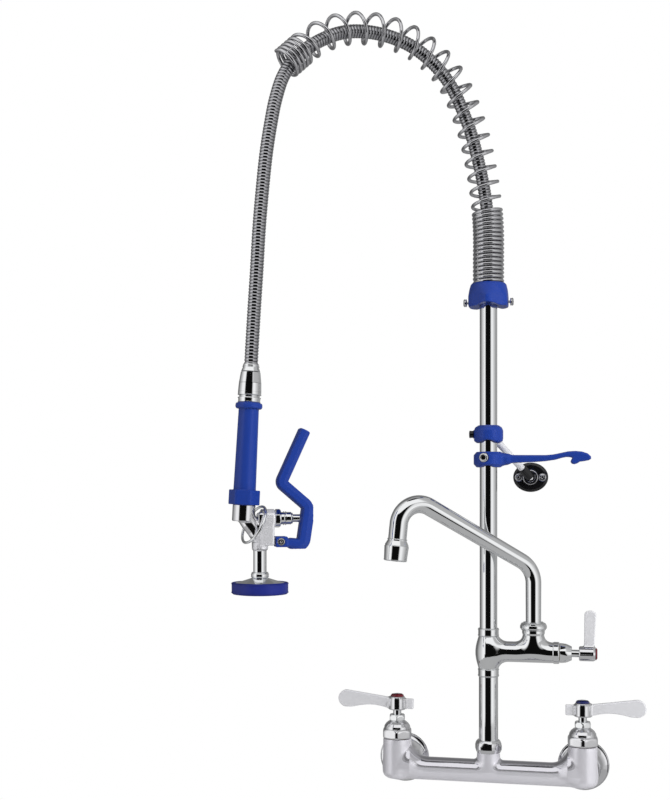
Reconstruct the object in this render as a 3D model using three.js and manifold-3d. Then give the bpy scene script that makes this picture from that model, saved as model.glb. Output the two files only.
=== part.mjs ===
// A wall-mounted commercial mixing faucet: two lever valves on eight-inch centres, a tall riser with
// an add-on valve and swing spout, and an overhead spring that carries the hose of a squeeze spray.
//
// Millimetres, +Z up, +X to the right of someone facing the wall, +Y into the wall. The origin is on
// the wall's face, midway between the two inlets, at the height of the inlets' axes.
//
// Each piece is one closed solid in a mesh of its own.

import * as THREE from 'three';
import { mergeVertices } from 'three/addons/utils/BufferGeometryUtils.js';
import Module from 'manifold-3d';

// ---------------------------------------------------------------- driving dimensions

// Clearances
const SEAT = 0.3; // between two pieces that rest on each other
const RUNNING = 0.35; // round a shaft that turns or slides

// The cast mixing body
const INLET_CENTRES = 203.2;
const WALL_TO_RISER = 52;
const BAR_OD = 24;
const WATERWAY = 13; // bore of the bar and of the inlets behind the sockets
const VALVE_OD = 32;
const VALVE_FOOT = 16; // below the inlets' axes
const VALVE_TOP = 32; // above the inlets' axes
const VALVE_BORE = 18.8;
const ARM_OD = 28;
const ARM_TO_WALL = 3; // the arm stops this far from the wall
const SOCKET_BORE = 21; // for a half-inch supply nipple
const SOCKET_DEPTH = 16;
const BOSS_OD = 26;
const BOSS_TOP = 22;
const FLARE = 27; // length of the fillets where the bar meets the valves

// Wall flanges
const FLANGE_OD = 56;
const FLANGE_DEPTH = 27;
const FLANGE_RIM = 2.5;

// The two mixing valves
const CARTRIDGE_OD = 18;
const CARTRIDGE_LIP = 3;
const CARTRIDGE_LIP_OUT = 3.4;
const BONNET_FLATS = 29;
const BONNET_HEIGHT = 17;
const BONNET_HEX = 9.5; // height of the flats below the dome
const PACKING_FLATS = 16.5;
const PACKING_HEIGHT = 7.5;
const STEM_OD = 9;
const STEM_SHOWS = 5.4; // between the packing nut and the lever
const HUB_OD = 19.4;
const HUB_HEIGHT = 19;
const LEVER_REACH = 68;
const LEVER_THICK = 5.4;
const LEVER_RISE = 3.5; // degrees above level
const TAB_LENGTH = 8.6;
const INDEX_OD = 15;
const INDEX_HEIGHT = 3.4;
const SCREW_HEAD_OD = 8;
const SCREW_OD = 4;

// The riser
const RISER_OD = 19.2;
const RISER_WALL = 1.6;
const BASE_NUT_FLATS = 25.5;
const BASE_NUT_HEIGHT = 10.7;
const PIPE_SOCKET = 6; // how far a pipe goes into its seat
const COUPLING_OD = 21.8;
const COUPLING_HEIGHT = 8;
const RISER_TOP = 530;

// The add-on valve on the riser
const ADD_ON_AXIS = 131.5; // height of its side arm
const ADD_ON_BELOW = 19; // barrel below the arm's axis
const ADD_ON_ABOVE = 16.5;
const ADD_ON_BULGE = 28.6;
const ADD_ON_ARM_OD = 22.4;
const ADD_ON_REACH = 77; // from the riser to the arm's end face
const OUTLET_REACH = 48.9; // from the riser to the spout's axis
const OUTLET_OD = 24;
const OUTLET_RISE = 24.5; // the outlet's top above the arm's axis
const SIDE_BORE = 17;
const SIDE_BONNET = 13;
const SIDE_STEM_OD = 8;
const SIDE_STEM_SHOWS = 7.4;
const SIDE_HUB_OD = 16;
const SIDE_HUB_LENGTH = 17.4;
const SIDE_LEVER_REACH = 47;
const SIDE_LEVER_WIDTH = 12.6;

// The swing spout
const SPOUT_OD = 15.9;
const SPOUT_BORE = 12.7;
const SPOUT_REACH = 152.4;
const SPOUT_FOOT_BEND = 28;
const SPOUT_TIP_BEND = 21;
const SPOUT_SLOPE = 29.4; // degrees above level
const SPOUT_LOW_CORNER = 92; // height of the lower corner above the arm's axis
const SPOUT_TIP_LEAN = 5; // degrees from plumb, outwards
const SPOUT_TIP_LENGTH = 53; // from the upper corner to the tube's end
const SPOUT_SWAGE_OD = 19.4;
const SPOUT_PARKED = 28; // degrees in front of the wall's plane
const SPOUT_NUT_OD = 29;
const SPOUT_NUT_HEIGHT = 8;
const AERATOR_OD = 26;
const AERATOR_HEIGHT = 19;

// The wall bracket and the finger hook
const CLAMP_OD = 32.4;
const CLAMP_BOTTOM = 360.2;
const CLAMP_HEIGHT = 19.5;
const CLAMP_ARCH = 3.4; // rise of its hollowed underside
const ROD_OD = 7.7;
const BRACKET_FLANGE_AT = [43, 323];
const BRACKET_FLANGE_SIZE = [39.6, 33.7];
const BRACKET_FLANGE_THICK = 5;
const BRACKET_HUB_OD = 17;
const BRACKET_HUB_DEPTH = 3;
const BRACKET_SCREW_SPREAD = 13.2;
const HOOK_MIDDLE = 342;
const HOOK_CLAMP_HEIGHT = 17;
const HOOK_DEPTH = 9.5;
const HOOK_REACH = 110.6; // from the riser's axis to the finger's nose
const HOOK_RISE = 8.9; // of the finger's back above the clamp's middle
const HOOK_SCREW_OD = 9.6;
const HOOK_SCREW_TURN = -13; // degrees from straight ahead

// The spring, its collar and the hose
const ARCH_SWING = 34; // degrees that the arch is turned in front of the wall's plane
const COLLAR_OD = 43.4;
const COLLAR_LAP = 22.7; // from the riser's top down to the collar's foot
const COLLAR_FLOOR = 11.2;
const COLLAR_HEIGHT = 31.4;
const THUMB_SCREW_RISE = 5.8;
const THUMB_HEAD_OD = 7.8;
const WIRE = 3.8;
const COIL_OD = 34.4;
const TIGHT_PITCH = 4.5;
const TIGHT_TURNS = 21;
const OPEN_TURNS = 18;
const OPEN_GROWTH = 1.5; // last open pitch over the first
const END_TURNS = 5;
const END_PITCH = 5.1; // wider than the lower turns', because the spring still bends here
const HOSE_OD = 14.2;
const HOSE_VALLEY = 11.9;
const HOSE_BORE = 8;
const HOSE_RIBS = 74;
const HOSE_FITTING_LENGTH = 15;

// The spray valve at the hose's end. Its places are measured from the centre of the grip's lower end,
// in the valve's own plane.
const SPRAY_AT = [-280.9, -235.6]; // the grip's lower end: along the arch, and from the riser's top
const SPRAY_TURN = 23; // degrees that the valve's plane is turned out of the wall's
const GRIP_LEAN = 2.95; // degrees, with its top to the right
const GRIP_HEX_FLATS = 26.5;
const GRIP_HEX_HEIGHT = 14.1;
const GRIP_LENGTH = 103.2;
const GRIP_FOOT_OD = 22.6;
const GRIP_TOP_OD = 20.5;
const GRIP_RING_OD = 27.4;
const GRIP_RING_HEIGHT = 6.5;
const FERRULE_LENGTH = 38.5;
const FERRULE_OD = 23.7;
const INLET_STUB_OD = 19.1;
const INLET_STUB_LENGTH = 14;
const ELBOW_OD = 16.8;
const PLUNGER_DROP = 14.6; // the plunger's axis below the grip
const BLOCK_REACH = 21.1; // from the grip's foot to the valve block's axis
const BLOCK_DEPTH = 18.9;
const BLOCK_TO_NUT = 9.9; // from the block's axis to its face under the packing nut
const NECK_REACH = 16.4;
const NECK_DROP = 31.8; // the neck's top below the plunger's axis
const NECK_LENGTH = 28.8;
const NECK_OD = 13.6;
const NECK_BEAD_OD = 18;
const NECK_BEAD_HEIGHT = 5.3;
const PLUNGER_OD = 12.9;
const PLUNGER_SHOWS = 12; // its body beyond the packing nut
const PLUNGER_TIP_OD = 8;
const PLUNGER_TIP_LENGTH = 9.2;
const RETURN_WIRE = 1;
const RETURN_LENGTH = 10.6; // room for the plunger's own coil
const SPRAY_NUT_FLATS = 17.3;
const SPRAY_NUT_LENGTH = 6;
const PIVOT_OUT = 16.1; // the lever's pivot beyond the block's axis
const PIVOT_DROP = 23.7; // the pivot below the plunger's axis
const PIVOT_SCREW_OD = 4.4;
const PIVOT_HEAD_OD = 7;
const PIVOT_RECESS = 1.8; // depth of the screw head's seat
const LUG_THICK = 5.6;
const LUG_OD = 9.3;
const LEVER_EYE_OD = 11;
const LEVER_STRAP = 7.2;
const LEVER_WIDTH = 17.6;
const LEVER_BEND = 6.2;
const LEVER_BOW = [5.9, 11.9]; // its outer corner: beyond the plunger's tip, above the plunger's axis
const LEVER_THROAT = [36.6, 21.1]; // its inner corner, from the grip's foot
const LEVER_TOP = [61.5, 76]; // its upper end, from the grip's foot
const RING_OD = 43.5;
const RING_WIRE = 2.8;
const FACE_RISE = 3.5; // of the spray face's cone above the bumper
const FACE_HOLES = 6;
const BUMPER_OD = 58;
const BUMPER_HEIGHT = 13.8;
const BUMPER_WALL = 2.8;

// Sides of round pieces, by size
const LARGE = 16;
const ROUND = 14;
const MEDIUM = 12;
const SMALL = 10;
const TINY = 8;

// ---------------------------------------------------------------- materials

const finish = (color, roughness, metalness) =>
  new THREE.MeshStandardMaterial({ color, roughness, metalness });
const CHROME = finish(0xd4d6da, 0.08, 1);
const SATIN = finish(0xb9b8c2, 0.28, 1);
const BRASS = finish(0xb8934a, 0.35, 1);
const STEEL = finish(0x8d9096, 0.3, 1);
const PALE = finish(0xc9c9cf, 0.5, 0.4);
const BLUE = finish(0x26359a, 0.35, 0);
const BLACK = finish(0x0c0c0e, 0.45, 0);
const RED = finish(0x8e1d22, 0.35, 0);

// ---------------------------------------------------------------- shape tools

const wasm = await Module();
wasm.setup();

const at = (x, y, z) => new THREE.Vector3(x, y, z);
const radians = THREE.MathUtils.degToRad;
const lerp = THREE.MathUtils.lerp;
const ACROSS = at(0, 1, 0);

// The same surface with shared corners merged and faces without area left out.
function tidied(geometry) {
  const bare = geometry.clone();
  bare.deleteAttribute('normal');
  bare.deleteAttribute('uv');
  const merged = mergeVertices(bare, 1e-4);
  const corners = merged.index.array;
  const kept = [];
  for (let i = 0; i < corners.length; i += 3) {
    const [a, b, c] = corners.slice(i, i + 3);
    if (a !== b && b !== c && c !== a) {
      kept.push(a, b, c);
    }
  }
  merged.setIndex(kept);
  return merged;
}

function solidOf(geometry) {
  const bare = tidied(geometry);
  return new wasm.Manifold(new wasm.Mesh({
    numProp: 3,
    vertProperties: new Float32Array(bare.attributes.position.array),
    triVerts: new Uint32Array(bare.index.array),
  }));
}

function geometryOf(solid) {
  const mesh = solid.getMesh();
  const geometry = new THREE.BufferGeometry();
  geometry.setAttribute('position', new THREE.BufferAttribute(mesh.vertProperties, 3));
  geometry.setIndex(new THREE.BufferAttribute(mesh.triVerts, 1));
  return geometry;
}

const joined = (first, ...others) =>
  geometryOf(others.reduce((sum, other) => sum.add(solidOf(other)), solidOf(first)));

const cut = (body, ...tools) =>
  geometryOf(tools.reduce((rest, tool) => rest.subtract(solidOf(tool)), solidOf(body)));

const common = (a, b) => geometryOf(solidOf(a).intersect(solidOf(b)));

// A profile of [radius, height] pairs, from the lower end up, turned about Z.
function turned(profile, sides = MEDIUM) {
  const points = profile.map(([radius, height]) => new THREE.Vector2(radius, height));
  return new THREE.LatheGeometry(points, sides).rotateX(Math.PI / 2);
}

// A turned sleeve: the outer profile going up, closed by a bore of one or more [radius, height] steps.
function sleeve(outer, bore, sides = MEDIUM) {
  return turned([...outer, ...bore, outer[0]], sides);
}

const alongX = (geometry) => geometry.rotateY(Math.PI / 2);
const toViewer = (geometry) => geometry.rotateX(Math.PI / 2); // its +Z end comes to -Y
const lathed = (radius, low, high, sides) =>
  turned([[0, low], [radius, low], [radius, high], [0, high]], sides);

const block = (low, high) =>
  new THREE.BoxGeometry(high[0] - low[0], high[1] - low[1], high[2] - low[2])
    .translate((low[0] + high[0]) / 2, (low[1] + high[1]) / 2, (low[2] + high[2]) / 2);

// Faces between rings that have equal counts of points and turn the right-hand way round the
// direction they go in. The first and last rings are closed flat.
function lofted(rings) {
  const count = rings[0].length;
  const faces = [];
  rings.slice(1).forEach((ring, i) => {
    for (let j = 0; j < count; j += 1) {
      const k = (j + 1) % count;
      const [a, b, c, d] = [i * count + j, i * count + k, (i + 1) * count + k, (i + 1) * count + j];
      faces.push(a, b, c, a, c, d);
    }
  });
  const last = (rings.length - 1) * count;
  for (let j = 1; j < count - 1; j += 1) {
    faces.push(0, j + 1, j, last, last + j, last + j + 1);
  }
  const geometry = new THREE.BufferGeometry().setFromPoints(rings.flat());
  geometry.setIndex(faces);
  return geometry;
}

// One ring round a centre: side and up are the section's own unit vectors.
function ring(centre, side, up, width, height, sides) {
  return Array.from({ length: sides }, (_, i) => {
    const angle = (2 * Math.PI * i) / sides;
    return centre.clone()
      .addScaledVector(side, (width / 2) * Math.cos(angle))
      .addScaledVector(up, (height / 2) * Math.sin(angle));
  });
}

// A straight round bar between two points.
function bar(from, to, diameter, sides = SMALL) {
  const direction = to.clone().sub(from).normalize();
  const side = Math.abs(direction.z) > 0.9 ? at(1, 0, 0) : at(0, 0, 1);
  side.addScaledVector(direction, -side.dot(direction)).normalize();
  const up = direction.clone().cross(side);
  return lofted([from, to].map((centre) => ring(centre, side, up, diameter, diameter, sides)));
}

// The points of a bent line in the XZ plane: corners as [x, z, bend radius].
function bentLine(corners, stepDegrees = 20) {
  const points = [at(corners[0][0], 0, corners[0][1])];
  for (let i = 1; i < corners.length - 1; i += 1) {
    const here = at(corners[i][0], 0, corners[i][1]);
    const inward = here.clone().sub(at(corners[i - 1][0], 0, corners[i - 1][1])).normalize();
    const outward = at(corners[i + 1][0], 0, corners[i + 1][1]).sub(here).normalize();
    const turn = inward.angleTo(outward);
    const tangent = corners[i][2] * Math.tan(turn / 2);
    const start = here.clone().addScaledVector(inward, -tangent);
    const middle = outward.clone().sub(inward).normalize();
    const centre = here.clone().addScaledVector(middle, corners[i][2] / Math.cos(turn / 2));
    const spoke = start.clone().sub(centre);
    const axis = inward.clone().cross(outward).normalize();
    const steps = Math.max(2, Math.ceil(THREE.MathUtils.radToDeg(turn) / stepDegrees));
    for (let j = 0; j <= steps; j += 1) {
      points.push(centre.clone().add(spoke.clone().applyAxisAngle(axis, (turn * j) / steps)));
    }
  }
  const end = corners[corners.length - 1];
  points.push(at(end[0], 0, end[1]));
  return points;
}

// The direction of a line of points at each of them.
const headings = (points) => points.map((_, i) => {
  const before = points[Math.max(0, i - 1)];
  const after = points[Math.min(points.length - 1, i + 1)];
  return after.clone().sub(before).normalize();
});

// A section of the given width across the XZ plane and thickness in it, carried along a line.
function swept(points, sectionAt) {
  const directions = headings(points);
  return lofted(points.map((point, i) => sectionAt(point, ACROSS, directions[i].clone().cross(ACROSS), i)));
}

// A hexagonal nut standing on z = 0, its corners taken off by a turned profile.
function hexagon(flats, height, profile) {
  return common(lathed(flats / Math.sqrt(3), 0, height, 6), turned(profile, 12));
}

function nut(flats, height, bore, chamfer = 1.2, sides = SMALL) {
  const corner = flats / Math.sqrt(3);
  const rim = [[0, 0], [corner - chamfer, 0], [corner, chamfer], [corner, height - chamfer],
    [corner - chamfer, height], [0, height]];
  return cut(hexagon(flats, height, rim), lathed(bore / 2, -1, height + 1, sides));
}

const part = (name, geometry, material) => {
  const mesh = new THREE.Mesh(tidied(geometry), material);
  mesh.name = name;
  return mesh;
};

const assembly = (position, ...pieces) => {
  const group = new THREE.Group();
  group.position.set(...position);
  group.add(...pieces);
  return group;
};

// ---------------------------------------------------------------- the cast mixing body

const VALVE_AT = INLET_CENTRES / 2;

// The bar between the valves, whose round section swells in concave fillets to a taller oval one
// at each valve and under the riser's boss.
function castBar() {
  const steps = 3;
  const half = [];
  const swell = (flat, full, tall, wide, rise) => {
    for (let i = 0; i <= steps; i += 1) {
      const growth = 1 - Math.sqrt(1 - (i / steps) ** 2);
      half.push({
        x: lerp(flat, full, i / steps),
        tall: lerp(BAR_OD, tall, growth),
        wide: lerp(BAR_OD, wide, growth),
        rise: lerp(0, rise, growth),
      });
    }
  };
  const valveEnd = VALVE_AT - VALVE_OD / 4;
  swell(BOSS_OD / 2 + 9, 6, 32, BOSS_OD - 1, 3);
  half.reverse();
  swell(valveEnd - FLARE, valveEnd, 38, VALVE_OD - 2, (VALVE_TOP - VALVE_FOOT) * 0.3);
  const mirrored = half.map((station) => ({ ...station, x: -station.x })).reverse();
  return lofted([...mirrored, ...half].map(({ x, tall, wide, rise }) =>
    ring(at(x, 0, rise), ACROSS, at(0, 0, 1), wide, tall, ROUND)));
}

function valveBarrel() {
  const r = VALVE_OD / 2;
  return turned([
    [0, -VALVE_FOOT], [r * 0.6, -VALVE_FOOT], [r * 0.9, -VALVE_FOOT + r * 0.18], [r, -VALVE_FOOT + r * 0.55],
    [r, VALVE_TOP - 8.6], [r - 0.7, VALVE_TOP - 8], [r - 0.7, VALVE_TOP], [0, VALVE_TOP],
  ], ROUND);
}

function mixerBody() {
  const solids = [castBar(), lathed(BOSS_OD / 2, 0, BOSS_TOP, ROUND)];
  const hollows = [];
  [-1, 1].forEach((hand) => {
    const x = hand * VALVE_AT;
    const armEnd = WALL_TO_RISER - ARM_TO_WALL;
    solids.push(valveBarrel().translate(x, 0, 0));
    solids.push(bar(at(x, 0, 0), at(x, armEnd, 0), ARM_OD, ROUND));
    hollows.push(lathed(VALVE_BORE / 2, -VALVE_FOOT + 8, VALVE_TOP + 1, MEDIUM).translate(x, 0, 0));
    hollows.push(bar(at(x, 0, 0), at(x, armEnd + 1, 0), WATERWAY, TINY));
    hollows.push(bar(at(x, armEnd - SOCKET_DEPTH, 0), at(x, armEnd + 1, 0), SOCKET_BORE, MEDIUM));
  });
  hollows.push(bar(at(-VALVE_AT, 0, 0), at(VALVE_AT, 0, 0), WATERWAY - 1, TINY));
  hollows.push(lathed(WATERWAY / 2 - 0.2, 0, BOSS_TOP + 1, TINY));
  hollows.push(lathed(RISER_OD / 2 + SEAT, BOSS_TOP - PIPE_SOCKET, BOSS_TOP + 1, ROUND));
  return part('mixer_body', cut(joined(...solids), ...hollows), SATIN);
}

// A bell-shaped flange on the wall, round the arm of the body. It is turned with its foot at z = 0.
function wallFlange(name, x) {
  const foot = FLANGE_OD / 2;
  const mouth = ARM_OD / 2 + SEAT + 2;
  const outer = [[foot, 0], [foot, FLANGE_RIM]];
  for (let i = 1; i <= 4; i += 1) {
    const angle = (Math.PI / 2) * (i / 4);
    outer.push([
      mouth + (foot - mouth) * (1 - Math.sin(angle)),
      FLANGE_RIM + (FLANGE_DEPTH - FLANGE_RIM) * (1 - Math.cos(angle)),
    ]);
  }
  const bore = ARM_OD / 2 + SEAT;
  const bell = toViewer(sleeve(outer, [[bore, FLANGE_DEPTH], [bore, 0]], LARGE));
  const mesh = part(name, bell, SATIN);
  mesh.position.set(x, WALL_TO_RISER, 0);
  return mesh;
}

// ---------------------------------------------------------------- a mixing valve and its lever

const BONNET_BOTTOM = VALVE_TOP + SEAT;
const PACKING_BOTTOM = BONNET_BOTTOM + BONNET_HEIGHT + SEAT;
const HUB_BOTTOM = PACKING_BOTTOM + PACKING_HEIGHT + STEM_SHOWS;
const HUB_TOP = HUB_BOTTOM + HUB_HEIGHT;
const CARTRIDGE_BOTTOM = -VALVE_FOOT + 10;
const CARTRIDGE_TOP = PACKING_BOTTOM - 4;
const STEM_BOTTOM = CARTRIDGE_TOP - 14;
const STEM_TOP = HUB_BOTTOM + 9.5;
const LEVER_SCREW_SEAT = HUB_TOP - INDEX_HEIGHT - 2.2;

function cartridge() {
  const r = CARTRIDGE_OD / 2;
  const lip = r + CARTRIDGE_LIP_OUT;
  const stemBore = STEM_OD / 2 + RUNNING;
  return sleeve([
    [0, CARTRIDGE_BOTTOM], [r - 1, CARTRIDGE_BOTTOM], [r, CARTRIDGE_BOTTOM + 1], [r, BONNET_BOTTOM],
    [lip, BONNET_BOTTOM], [lip, BONNET_BOTTOM + CARTRIDGE_LIP], [r, BONNET_BOTTOM + CARTRIDGE_LIP],
    [r, CARTRIDGE_TOP],
  ], [[stemBore, CARTRIDGE_TOP], [stemBore, STEM_BOTTOM - SEAT], [0, STEM_BOTTOM - SEAT]]);
}

// The bonnet: hexagonal below, domed above, over the cartridge's lip.
function bonnetNut() {
  const corner = BONNET_FLATS / Math.sqrt(3);
  const neck = corner * 0.64;
  const rim = [[0, 0], [corner - 0.8, 0], [corner, 1], [corner, BONNET_HEX]];
  for (let i = 1; i <= 3; i += 1) {
    const angle = (Math.PI / 2) * (i / 3);
    rim.push([
      neck + (corner - neck) * Math.cos(angle),
      BONNET_HEX + (BONNET_HEIGHT - BONNET_HEX) * Math.sin(angle),
    ]);
  }
  rim.push([0, BONNET_HEIGHT]);
  const lipRoom = CARTRIDGE_LIP + SEAT;
  const shoulder = CARTRIDGE_TOP - BONNET_BOTTOM + SEAT;
  return cut(
    hexagon(BONNET_FLATS, BONNET_HEIGHT, rim),
    lathed(CARTRIDGE_OD / 2 + CARTRIDGE_LIP_OUT + 2 * SEAT, -1, lipRoom, MEDIUM),
    lathed(CARTRIDGE_OD / 2 + 2 * SEAT, -1, shoulder, MEDIUM),
    lathed(STEM_OD / 2 + RUNNING, -1, BONNET_HEIGHT + 1, SMALL),
  );
}

function valveStem() {
  const r = STEM_OD / 2;
  const screwHole = SCREW_OD / 2 + 0.2;
  return sleeve(
    [[0, STEM_BOTTOM], [r, STEM_BOTTOM], [r, STEM_TOP]],
    [[screwHole, STEM_TOP], [screwHole, STEM_TOP - 6.5], [0, STEM_TOP - 6.5]],
    SMALL,
  );
}

function leverScrew() {
  const r = SCREW_OD / 2;
  const head = SCREW_HEAD_OD / 2;
  return turned([
    [0, STEM_TOP - 6], [r, STEM_TOP - 6], [r, LEVER_SCREW_SEAT + SEAT], [head, LEVER_SCREW_SEAT + SEAT],
    [head - 0.6, LEVER_SCREW_SEAT + 2], [0, LEVER_SCREW_SEAT + 2],
  ], TINY);
}

// The blade's outline seen from the front, pointing along -X from the hub's axis at z = 0: a deep root,
// a narrow neck and a round paddle at the end.
function bladeOutline() {
  const hub = HUB_OD / 2;
  const paddle = 9.7;
  const paddleX = -LEVER_REACH + paddle;
  const outline = new THREE.Shape();
  outline.moveTo(-hub * 0.6, -6.3);
  outline.lineTo(-hub - 1, -6.3);
  outline.bezierCurveTo(-hub - 9, -6.1, -hub - 10, -4.2, -hub - 17, -4.4);
  outline.bezierCurveTo(-hub - 26, -4.6, paddleX + 9, -paddle, paddleX, -paddle);
  outline.absarc(paddleX, 0, paddle, -Math.PI / 2, Math.PI / 2, true);
  outline.bezierCurveTo(paddleX + 12, paddle * 0.93, -hub - 22, 6.4, -hub * 0.6, 6.1);
  return outline;
}

function plate(outline, thickness, bevel, curveSegments) {
  return new THREE.ExtrudeGeometry(outline, {
    depth: thickness - 2 * bevel,
    bevelEnabled: true,
    bevelThickness: bevel,
    bevelSize: bevel,
    bevelOffset: -bevel,
    bevelSegments: 1,
    curveSegments,
  }).translate(0, 0, bevel - thickness / 2).rotateX(Math.PI / 2);
}

function lever() {
  const r = HUB_OD / 2;
  const middle = HUB_BOTTOM + HUB_HEIGHT * 0.4;
  const hub = turned([
    [0, HUB_BOTTOM], [r - 0.8, HUB_BOTTOM], [r, HUB_BOTTOM + 0.8], [r, HUB_TOP - 2.6],
    [r - 1.2, HUB_TOP - 0.6], [r - 2.2, HUB_TOP], [0, HUB_TOP],
  ], ROUND);
  const blade = plate(bladeOutline(), LEVER_THICK, 1.2, 3)
    .rotateY(radians(LEVER_RISE)).translate(0, 0, middle);
  const tab = block([0, -LEVER_THICK / 2, middle - 6], [r + TAB_LENGTH, LEVER_THICK / 2, middle + 5.2]);
  const indexRoom = lathed(INDEX_OD / 2 + SEAT, LEVER_SCREW_SEAT, HUB_TOP + 1, MEDIUM);
  const screwHole = lathed(SCREW_OD / 2 + 0.2, STEM_TOP, HUB_TOP, TINY);
  const stemHole = lathed(STEM_OD / 2 + SEAT, HUB_BOTTOM - 1, STEM_TOP + SEAT, SMALL);
  return cut(joined(hub, blade, tab), indexRoom, screwHole, stemHole);
}

function indexButton() {
  const r = INDEX_OD / 2;
  const low = HUB_TOP - INDEX_HEIGHT + 1 + SEAT;
  return turned([
    [0, low], [r, low], [r, HUB_TOP + 0.2], [r - 1.2, HUB_TOP + 0.9], [0, HUB_TOP + 1.3],
  ], MEDIUM);
}

// One valve, named for its water. The cold lever is the hot one turned half round.
function mixingValve(water, x, turn, indexMaterial) {
  const bonnet = part(`${water}_bonnet_nut`, bonnetNut(), SATIN);
  bonnet.position.z = BONNET_BOTTOM;
  bonnet.rotation.z = Math.PI / 6;
  const stemRoom = STEM_OD + 2 * RUNNING;
  const packing = part(`${water}_packing_nut`, nut(PACKING_FLATS, PACKING_HEIGHT, stemRoom), CHROME);
  packing.position.z = PACKING_BOTTOM;
  const handle = assembly(
    [0, 0, 0],
    part(`${water}_stem`, valveStem(), CHROME),
    part(`${water}_lever`, lever(), PALE),
    part(`${water}_lever_screw`, leverScrew(), STEEL),
    part(`${water}_index_button`, indexButton(), indexMaterial),
  );
  handle.rotation.z = turn;
  return assembly([x, 0, 0], part(`${water}_cartridge`, cartridge(), BRASS), bonnet, packing, handle);
}

// ---------------------------------------------------------------- riser pipes and couplings

const BASE_NUT_BOTTOM = BOSS_TOP + SEAT;
const BARREL_BOTTOM = ADD_ON_AXIS - ADD_ON_BELOW;
const BARREL_TOP = ADD_ON_AXIS + ADD_ON_ABOVE;
const RISER_ROOM = RISER_OD / 2 + SEAT;

function pipe(name, low, high) {
  const inner = RISER_OD / 2 - RISER_WALL;
  const wall = sleeve([[RISER_OD / 2, low], [RISER_OD / 2, high]], [[inner, high], [inner, low]], ROUND);
  return part(name, wall, CHROME);
}

function couplingRing(name, low) {
  const r = COUPLING_OD / 2;
  const high = low + COUPLING_HEIGHT;
  const outer = [[r - 0.5, low], [r, low + 0.8], [r, high - 0.8], [r - 0.5, high]];
  return part(name, sleeve(outer, [[RISER_ROOM, high], [RISER_ROOM, low]], ROUND), CHROME);
}

function riserPieces() {
  const nutBody = nut(BASE_NUT_FLATS, BASE_NUT_HEIGHT, 2 * RISER_ROOM, 1.8, ROUND);
  const baseNut = part('riser_base_nut', nutBody, SATIN);
  baseNut.position.z = BASE_NUT_BOTTOM;
  return [
    baseNut,
    pipe('lower_riser', BOSS_TOP - PIPE_SOCKET + SEAT, BARREL_BOTTOM - SEAT),
    couplingRing('lower_coupling', BARREL_BOTTOM - SEAT - COUPLING_HEIGHT),
    couplingRing('upper_coupling', BARREL_TOP + SEAT),
    pipe('riser_pipe', BARREL_TOP + SEAT, RISER_TOP),
  ];
}

// ---------------------------------------------------------------- the add-on valve

const OUTLET_TOP = ADD_ON_AXIS + OUTLET_RISE;
const SPOUT_FOOT = OUTLET_TOP - 8;

// A turned fillet that spreads from a boss down to the surface it stands on.
function spread(radius, growth, low, high) {
  const profile = [[0, low]];
  for (let i = 0; i <= 2; i += 1) {
    const angle = (Math.PI / 2) * (i / 2);
    profile.push([radius + growth * (1 - Math.sin(angle)), lerp(low, high, 1 - Math.cos(angle))]);
  }
  profile.push([0, high]);
  return turned(profile, MEDIUM);
}

function addOnBody() {
  const bulge = ADD_ON_BULGE / 2;
  const end = COUPLING_OD / 2;
  const barrel = [[0, BARREL_BOTTOM]];
  for (let i = 0; i <= 4; i += 1) {
    const angle = Math.PI * (i / 4);
    barrel.push([end + (bulge - end) * Math.sin(angle), lerp(BARREL_BOTTOM, BARREL_TOP, i / 4)]);
  }
  barrel.push([0, BARREL_TOP]);
  const r = ADD_ON_ARM_OD / 2;
  const arm = alongX(turned([
    [0, 0], [r, 0], [r, ADD_ON_REACH - 6.6], [r + 0.7, ADD_ON_REACH - 6], [r, ADD_ON_REACH],
    [0, ADD_ON_REACH],
  ], ROUND)).translate(0, 0, ADD_ON_AXIS);
  const web = alongX(spread(r, 4.6, bulge * 0.55, bulge + 9)).translate(0, 0, ADD_ON_AXIS - 1);
  const outlet = lathed(OUTLET_OD / 2, ADD_ON_AXIS, OUTLET_TOP, ROUND).translate(OUTLET_REACH, 0, 0);
  const foot = spread(OUTLET_OD / 2 - 0.5, 5, ADD_ON_AXIS + 6, ADD_ON_AXIS + 18)
    .translate(OUTLET_REACH, 0, 0);
  const waterway = 6;
  return part('add_on_body', cut(
    joined(turned(barrel, ROUND), arm, web, outlet, foot),
    lathed(waterway + 1.5, BARREL_BOTTOM - 1, BARREL_TOP + 1, TINY),
    bar(at(0, 0, ADD_ON_AXIS), at(ADD_ON_REACH + 1, 0, ADD_ON_AXIS), 2 * waterway, TINY),
    bar(at(ADD_ON_REACH - 16, 0, ADD_ON_AXIS), at(ADD_ON_REACH + 1, 0, ADD_ON_AXIS), SIDE_BORE, MEDIUM),
    lathed(waterway, ADD_ON_AXIS, OUTLET_TOP + 1, TINY).translate(OUTLET_REACH, 0, 0),
    lathed(SPOUT_OD / 2 + RUNNING, SPOUT_FOOT - SEAT, OUTLET_TOP + 1, MEDIUM).translate(OUTLET_REACH, 0, 0),
  ), CHROME);
}

// The side valve's own pieces, turned about the arm's axis. Lengths run from the riser's axis.
const SIDE_BONNET_END = ADD_ON_REACH + SEAT + SIDE_BONNET;
const SIDE_HUB_START = SIDE_BONNET_END + SIDE_STEM_SHOWS;
const SIDE_HUB_END = SIDE_HUB_START + SIDE_HUB_LENGTH;
const SIDE_CARTRIDGE_END = ADD_ON_REACH + 6;
const SIDE_STEM_START = ADD_ON_REACH - 5;
const SIDE_STEM_END = SIDE_HUB_END - 5;

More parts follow.
